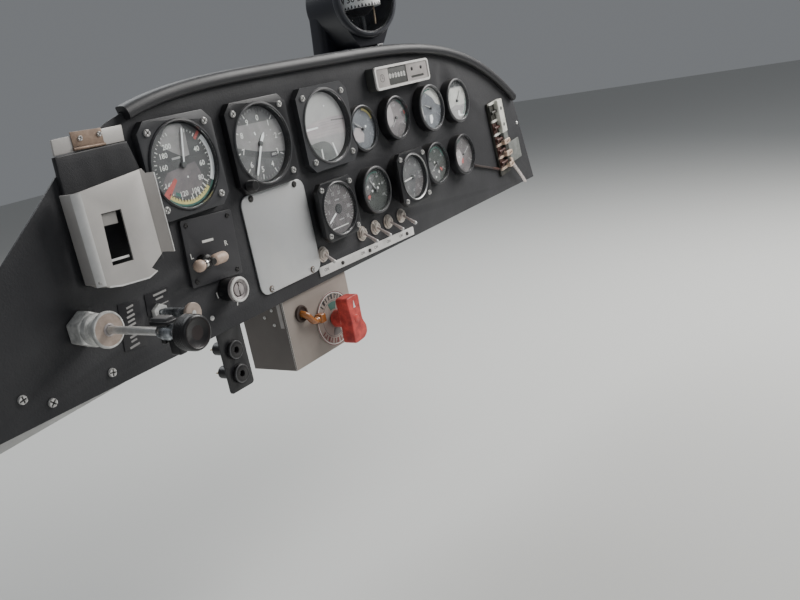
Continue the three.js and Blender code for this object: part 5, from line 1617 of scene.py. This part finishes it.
def make_throttle_knob():
    knob = Piece("throttle_grip", "maroon_plastic", "throttle_lever", **THROTTLE)
    rear = [(3.3, KNOB_REAR), (11.2, KNOB_REAR), (12.1, KNOB_REAR - 0.5), (12.6, KNOB_REAR - 1.6)]
    grip = reversed(knurls(12.6, KNOB_FRONT + 3, KNOB_REAR - 1.8, 0.25, 1.5))
    rim = [(12.5, 2), (12.0, 0.9), (11.3, 0.2), (10.5, 0), (9.9, 0.5), (3.3, 1.2)]
    knob.add(lathe([*rear, *grip, *measured(KNOB_FRONT, rim)], 64), KNOB_BLACK)
    face = [(0, 1.1), (6, 1), (9.4, 0.6), (10, 0.3), (10.1, 2), (0, 2)]
    knob.add(lathe(measured(KNOB_FRONT, face), 56), KNOB_FACE)
    knob.done("throttle_knob")


def make_pull_control():
    mount = Piece("pull_control_collar", "zinc_plate", **PULL)
    bore = PULL_BORE
    mount.add(prism(hexagon(13), -7, SEAT, [circle(bore, 24)]), ZINC, bevel=0.6)
    mount.add(lathe([(bore, SEAT), (4.7, SEAT), (4.7, 1.3), (bore, 1.3)], 32), ZINC)
    mount.add(prism(hexagon(13, turn=8), 0.4, 5, [circle(bore, 24)]), ZINC, bevel=0.6)
    sleeve = [(bore, 4.8), *knurls(4.0, 4.8, 30, 0.35, 1.2), (3.6, 30.6), (3.6, 62), (bore, 62)]
    mount.add(lathe(sleeve, 28), ZINC)
    mount.done("pull_mount")
    knob = Piece("pull_control_knob", "blush_plastic", "pull_lever", **PULL)
    disc = [(0, 0.3), (6.6, 0), (7.6, 0.2), (8.2, 0.9), (8.2, 3.2), (7.6, 3.9), (4.6, 5), (0, 5)]
    knob.add(lathe(measured(PULL_FRONT, disc), 52), BLUSH_DISC)
    knob.add(lathe([(0, PULL_FRONT + 4.9), (4.5, PULL_FRONT + 4.9), (4.2, PULL_FRONT + 8), (3.9, -12),
                    (2.2, -11.6), (2.2, 51.6), (1.8, 52), (0, 52)], 32), HUB_METAL)
    middle = [(0, -0.1), (1.8, -0.1), (2.2, 0.4), (0, 0.4)]
    knob.add(lathe(measured(PULL_FRONT, middle), 24), BRIGHT_SCREW)
    knob.done("pull_knob")


# Hour meter

METER = {"x": 132.45, "z": 174.35}
METER_WIDTH, METER_HEIGHT = 110.9, 24.9
METER_FRONT = -16.2
METER_WINDOW = (-10.6, 0.2)         # x and z of the middle of the window over the drums
METER_SLOT = (29.6, -5.4)
METER_CLOCK_X = -42
DRUM_FIRST, DRUM_STEP = -25.8, 5.75


def make_hour_meter():
    width, height, front = METER_WIDTH, METER_HEIGHT, METER_FRONT
    face = front + 0.9
    meter = Piece("hour_meter_case", "ivory_plastic", **METER)
    meter.add(prism(rounded(width - 0.4, height - 0.4, 3.8), front + 1.6, SEAT), METER_SIDE, bevel=0.5)
    meter.add(prism(rounded(width, height, 4.2), front, front + 2.4,
                    [rounded(width - 5, height - 5, 2.4)]), METER_IVORY, bevel=0.7, segments=3)
    window = rounded(37.4, 19, 1.6, *METER_WINDOW)
    slot_hole = rounded(27, 2.6, 1.2, *METER_SLOT)
    meter.add(prism(rounded(width - 4.4, height - 4.4, 2.4), face, front + 2.4,
                    [window, slot_hole]), METER_FACE, bevel=0.25)
    meter.add(prism(rounded(42, 20.2, 1, *METER_WINDOW), front + 3.6, front + 12), PRINT_DARK)
    meter.add(prism(rounded(29, 4, 1, *METER_SLOT), front + 2.2, front + 2.6), RUSTY_STEEL)
    drum = lathe([(0, -2.5), (8.0, -2.5), (8.3, -2.2), (8.3, 2.2), (8.0, 2.5), (0, 2.5)], 44)
    for i in range(6):
        meter.add(reshaped(drum, swap_xy), METER_DRUM, x=DRUM_FIRST + DRUM_STEP * i, y=front + 9.6,
                  z=METER_WINDOW[1])
    for x in (19.6, 39.4):
        meter.add(lathe([(0, -0.4), (1.9, -0.4), (2.3, -0.1), (2.3, 0.2), (0, 0.2)], 24), BLACK_SCREW,
                  x=x, y=face, z=3.6)
    meter.done("hour_meter")
    marks = Piece("hour_meter_markings", "dial_marking", **METER)
    for i, digit in enumerate("013682"):
        marks.write(digit, 7.6, DRUM_FIRST + DRUM_STEP * i, front + 1.25, METER_WINDOW[1], PRINT_IVORY)
    for half in (0, 180):
        ring = [(METER_CLOCK_X + x, z) for x, z in sector(3.7, 4.3, half, half + 176)]
        marks.print_flat(ring, face, PRINT_GREY)
    for angle, reach in ((0, 3.2), (120, 2.2)):
        hand = [(METER_CLOCK_X + x, z) for x, z in spoke(0, reach, angle, 0.7)]
        marks.print_flat(hand, face, PRINT_GREY)
    marks.done()


# Fuse block and the wire that feeds it

FUSES = {"x": 356.3, "z": 63.5, "tilt": -6}
FUSES_HALF_WIDTH, FUSES_HALF_HEIGHT = 16, 50.5
FUSES_FRONT = -12.5
FUSE_Y = -7.6           # the fuses' own axis


def make_fuse_block():
    w, h, front = FUSES_HALF_WIDTH, FUSES_HALF_HEIGHT, FUSES_FRONT
    fin_front = front + 4.5
    fuses = Piece("fuse_holder", "ivory_plastic", **FUSES)
    fuses.add(block(-w, w, SEAT - 3, SEAT, -h, h), FUSE_DARK, bevel=0.5)
    fuses.add(block(w - 15, w - 1, front, SEAT - 2.8, 5.6, h), FUSE_IVORY, bevel=1.0, segments=3)
    fuses.add(block(w - 13, w - 1, front + 0.8, SEAT - 2.8, -7, 6), GREY_CLIP, bevel=0.8, segments=3)
    fuses.add(block(w - 12, w - 2, front + 2.4, SEAT - 2.8, -h + 6, -7), FUSE_DARK, bevel=0.8, segments=3)
    fins = (h - 1.6, 25, 6.4, -8.6, -25.4, -41.6)
    for z in fins:
        fin = [(-w, z - 0.9), (-w + 2.4, z + 1.5), (w - 4, z + 1.6), (w - 4, z - 1.6), (-w + 5, z - 1.6)]
        fuses.add(prism(fin, fin_front, SEAT - 0.1), FUSE_IVORY if z > -7 else FUSE_LOBE, bevel=0.5)
    for above, below in zip(fins, fins[1:]):
        z, tall = (above + below) / 2, (above - below) / 2 - 2.4
        tint = FUSE_DARK if z > 30 else COPPER_BROWN
        fuses.add(block(-w + 1.0, -w + 5.4, fin_front + 0.6, SEAT - 2.8, z - tall, z + tall), tint, bevel=0.6)
        low, high = z - tall + 0.6, z + tall - 0.6
        fuses.add(block(-w + 6.4, -w + 13, fin_front + 1.2, SEAT - 2.8, low, high), tint, bevel=0.6)
        fuse = [(x, FUSE_Y, z) for x in (-w + 2.4, -w + 5.2, -w + 5.4, w - 5)]
        fuses.add(tube(fuse, [2.6, 2.6, 2.2, 2.2], 18), tint)
    for z, lean in ((h - 12, 10), (h - 34, 70)):
        add_screw(fuses, w - 8, front + 0.1, z, 2.6, GREY_CLIP, slots=1, turn=lean, height=0.7)
    for z, lean, long in ((-7.4, 12, 18), (-24, 8, 18), (-40, 16, 13)):
        lobe = rounded(long, 6.8, 3.3, w - 8, z)
        fuses.add(prism(lobe, front - 0.6, fin_front + 2), FUSE_LOBE, bevel=1.2, segments=4)
        slot = prism(rounded(8, 0.9, 0.4), front - 0.75, front - 0.5)
        fuses.add(slot, COPPER_BROWN, x=w - 7, z=z, tilt=-lean)
    fuses.add(block(w - 6, w + 40, SEAT - 2.5, SEAT, -h + 8, -h + 36), GREY_CLIP, bevel=0.6)
    arm = [(w - 6, front + 2.6, -h + 16), (w + 3, front + 2.6, -h + 4), (w + 14, front + 2.6, -h - 9.6),
           (w + 25, front + 2.6, -h - 24.6), (w + 27, front + 2.6, -h - 27)]
    fuses.add(tube(arm, [2.6, 2.5, 2.3, 2.2, 1.5], 18), ROSE_METAL)
    stud = lathe([(0, front + 0.1), (3.2, front + 0.1), (3.6, front + 0.6), (3.6, -8), (0, -8)], 28)
    fuses.add(stud, FUSE_LOBE, x=w - 5, z=-h + 15)
    fuses.done("fuse_block")


def make_feed_wire():
    wire = Piece("brown_feed_wire", "brown_wire")
    route = smooth_path([(277, -4.4, 42), (294, -4.6, 36.4), (311, -4.3, 32), (327, -4.5, 27.2),
                         (343.4, -4.4, 22.7)], 5)
    wire.add(tube(route, 1.55, 12), BROWN_WIRE)
    wire.add(tube([(326, -4.5, 27.6), (334, -4.45, 25.3), (343.2, -4.4, 22.8)], 1.75, 12), COPPER_BROWN)
    wire.done("fuse_wire")


# Fuel selector box

SELECTOR = {"x": -55, "z": -51.5}
SELECTOR_FACE = -1.1
BOX_LEFT, BOX_TOP, BOX_BOTTOM = -125, -10.3, -82
GROMMET = {"x": -102, "z": -30}


def make_fuel_box():
    box = Piece("fuel_selector_box", "box_paint")
    box.take(solid_of("fuel_box", 0.7, 3), BOX_PAINT)
    # The left side gets a darker finish: painted shade.
    box.refinish(BOX_SHADED_SIDE, lambda face: face.normal.x < -0.6)
    left, front = BOX_LEFT, 0.3
    # A bright strip on the bend between side and front: rubbed paint and painted highlight.
    edge = [(left - 0.15, front + 0.9), (left + 0.9, front - 0.15), (left + 1.2, front + 0.15),
            (left + 0.15, front + 1.2)]
    box.add(reshaped(prism(edge, BOX_BOTTOM + 0.6, BOX_TOP - 0.4), swap_yz), HOLDER_RUBBED_AND_HIGHLIGHT)
    box.add(block(left - 0.5, left + 0.2, 3.6, 8.0, -37, BOX_TOP - 1), METER_FACE, bevel=0.2)
    box.done("fuel_box")
    fixings = Piece("fuel_box_screws", "steel_screw")
    for y, z in ((26.9, -26.3), (16, -33.9), (15.6, -18.7)):
        add_screw(fixings, BOX_LEFT, y, z, 1.6, BRIGHT_SCREW, slots=1, yaw=-90)
    for x in (-112, -36):
        add_screw(fixings, x, 1.9, 0.2, 2.6, BRIGHT_SCREW, yaw=180)
    fixings.done()


def make_selector_plate():
    face = SELECTOR_FACE
    ring = Piece("selector_label_plate", "bare_aluminium", **SELECTOR)
    ring.add(lathe([(7, -0.9), (7.4, face), (28.0, face), (28.5, -0.7), (28.5, 0), (7, 0)], 72), BOX_PAINT)
    ring.add(block(-30, -22, -9.8, -0.9, 4.9, 14.1), AMBER_HOSE, bevel=1.6, segments=4)
    ring.done("selector_ring")
    marks = Piece("selector_markings", "dial_marking", y=face, **SELECTOR)
    for half in ((0, 180), (180, 360)):
        arcs(marks, 0, [(27.3, 28.2, *half, PRINT_MAROON), (26.5, 27.3, *half, STRIP_WHITE),
                        (18.6, 19.1, *half, PRINT_GREY)])
    for i in range(30):                         # the ring's lettering, as bars
        angle = 12 * i + 4
        tint = PRINT_MAROON if 110 < angle < 250 else PRINT_DARK
        if not 252 < angle < 316:
            marks.print_flat(spoke(20.6, 25.8, angle, 1.4 if i % 3 else 2.6), 0, tint)
            if i % 2:
                marks.print_flat(spoke(23.8, 25.2, angle + 5, 1.6), 0, tint)
    for angle, tint in ((0, PRINT_GREEN), (90, PRINT_RED), (180, PRINT_GREY)):
        marks.print_flat(sector(10, 17.8, angle - 22, angle + 22), 0, tint)
    marks.done()


def make_fuel_valve():
    valve = Piece("fuel_valve_body", "zinc_plate", **SELECTOR)
    valve.add(lathe([(5.6, 26), (5.6, 2.2), (16.2, 2.2), (17, 3), (17, 12), (15.6, 13.4), (15.6, 22),
                     (17, 23.4), (17, 33), (16, 34), (0, 34), (0, 26)], 52), ZINC)
    for ends in (((0, 20, -12), (0, 20, -27)), ((-12, 20, 0), (-37.6, 20, 0))):
        start, end = (Vector(point) for point in ends)
        step = (end - start).normalized()
        valve.add(tube([start, end], 4.4, 24), BRASS)
        valve.add(tube([start + 4 * step, start + 9 * step], 5.6, 6), BRASS, bevel=0.4)
    valve.done("fuel_valve")


def make_grommet():
    grommet = Piece("hose_grommet_rubber", "black_rubber", **GROMMET)
    grommet.add(lathe([(3.1, -0.9), (6.3, -1.4), (6.3, 0.4), (3.1, 0.4)], 40), GROMMET_BROWN)
    grommet.add(lathe([(6.1, -1.7), (6.8, -2.4), (8.2, -2.2), (8.6, -1.4), (8.6, 0), (6.7, 0.2), (6.7, 2),
                       (7.4, 2.2), (7.4, 2.6), (6.1, 2.6)], 48), GROMMET_BROWN)
    grommet.done("hose_grommet")


def make_fuel_hose():
    x, z = GROMMET["x"], GROMMET["z"]
    route = smooth_path([(x, 16, z), (x, 7, z), (x, 0, z), (x + 2.4, -5.4, z - 3), (x + 9, -6, z - 10.6),
                         (-85.4, -6, -42)], 8)
    hose = Piece("amber_fuel_hose", "amber_hose")
    hose.add(tube(route, 3.35, 28), AMBER_HOSE)
    hose.add(tube(route[-4:-1], 3.7, 28), AMBER_HOSE)
    hose.done("fuel_hose")


def make_fuel_handle():
    handle = Piece("fuel_selector_handle", "red_plastic", "fuel_lever", **SELECTOR)
    outline = [(-10, -20), (-9.6, -22.6), (-7, -24), (0, -23.8), (7, -23), (11.6, -20), (13.6, -15.6),
               (13.2, -10.6), (10.6, -5.4), (9.4, -1), (9.6, 12), (10, 20), (9.2, 23), (6.4, 24),
               (-6.4, 24), (-9.6, 23), (-10.6, 20), (-9.4, 8), (-9.2, -6)]
    curve = smooth_path([(x, 0, z) for x, z in outline + outline[:1]], 4)[:-1]
    handle.add(prism([(point.x, point.z) for point in curve], -30, -15.2), HANDLE_RED, bevel=1.6, segments=4)
    handle.add(lathe([(0, -16), (8.9, -16), (9.5, -15.2), (9.2, -4), (8.4, -2.6), (5, -2.6), (5, 24.6),
                      (4.6, 25), (0, 25)], 44), HANDLE_RED)
    handle.add(lathe([(0, -30.6), (3.6, -30.6), (4.2, -30.2), (4.2, -29.4), (0, -29.4)], 32), HANDLE_RED)
    handle.add(prism([(-1.6, 12), (1.6, 12), (0, 20)], -30.2, -29.8), PRINT_WHITE)
    handle.done("fuel_handle")


# Jack sockets under the panel

JACK_HEIGHTS = (-30, -53)


def make_jack_bracket():
    bracket = Piece("jack_socket_bracket", "zinc_plate", x=-198)
    holes = [circle(5.8, 24, 0, z) for z in JACK_HEIGHTS]
    bracket.add(prism(rounded(30, 76, 3, 0, -30), 0.3, 1.9, holes), CASE_BLACK, bevel=0.3)
    for z in JACK_HEIGHTS:
        bracket.add(lathe([(2.6, 14), (2.6, -2.6), (3.2, -3.5), (7.4, -3.5), (8.1, -3.2), (8.6, -2.4),
                           (8.6, 0.8), (6, 0.8), (6, 22), (0, 22), (0, 14)], 44), KNOB_BLACK, z=z)
        # A thin grey lip on each black ring: painted glint.
        lip = [(7.5, -3.7), (8.1, -3.7), (8.5, -3.2), (8.5, -3.0), (7.5, -3.0)]
        bracket.add(lathe(lip, 44), GREY_CASE_AND_SHEEN, z=z)
        bracket.add(prism(hexagon(15, 0, z, 12), 1.8, 4.6), ZINC, bevel=0.5)
        for side in (-1, 1):
            bracket.add(block(side * 3 - 1, side * 3 + 1, 21.6, 27, z - 0.4, z + 0.4), BRASS, bevel=0.1)
    for x in (-9, 9):
        add_screw(bracket, x, 1.9, 3.4, 2.2, BRIGHT_SCREW, yaw=180)
    bracket.done("jack_bracket")


# The pieces in their order. The screws in all the square flanges are one piece

INSTRUMENT_SCREWS = Piece("instrument_screws", "steel_screw")
make_panel()
make_edge_trim()
make_large_cases()
make_airspeed()
make_altimeter()
make_turn_indicator()
make_engine_gauge()
make_climb_gauge()
for gauge_row in GAUGES:
    make_round_gauge(*gauge_row)
INSTRUMENT_SCREWS.done()
make_compass_shell()
make_compass_inside()
make_compass_stand()
make_blank_plate()
make_holder_pad()
make_holder_hinge()
make_pocket()
make_magneto_plate()
make_magneto_body()
make_magneto_handle()
make_ignition_lock()
make_labels()
make_toggles()
make_throttle_mount()
make_throttle_rod()
make_throttle_knob()
make_pull_control()
make_hour_meter()
make_fuse_block()
make_feed_wire()
make_fuel_box()
make_selector_plate()
make_fuel_valve()
make_grommet()
make_fuel_hose()
make_fuel_handle()
make_jack_bracket()
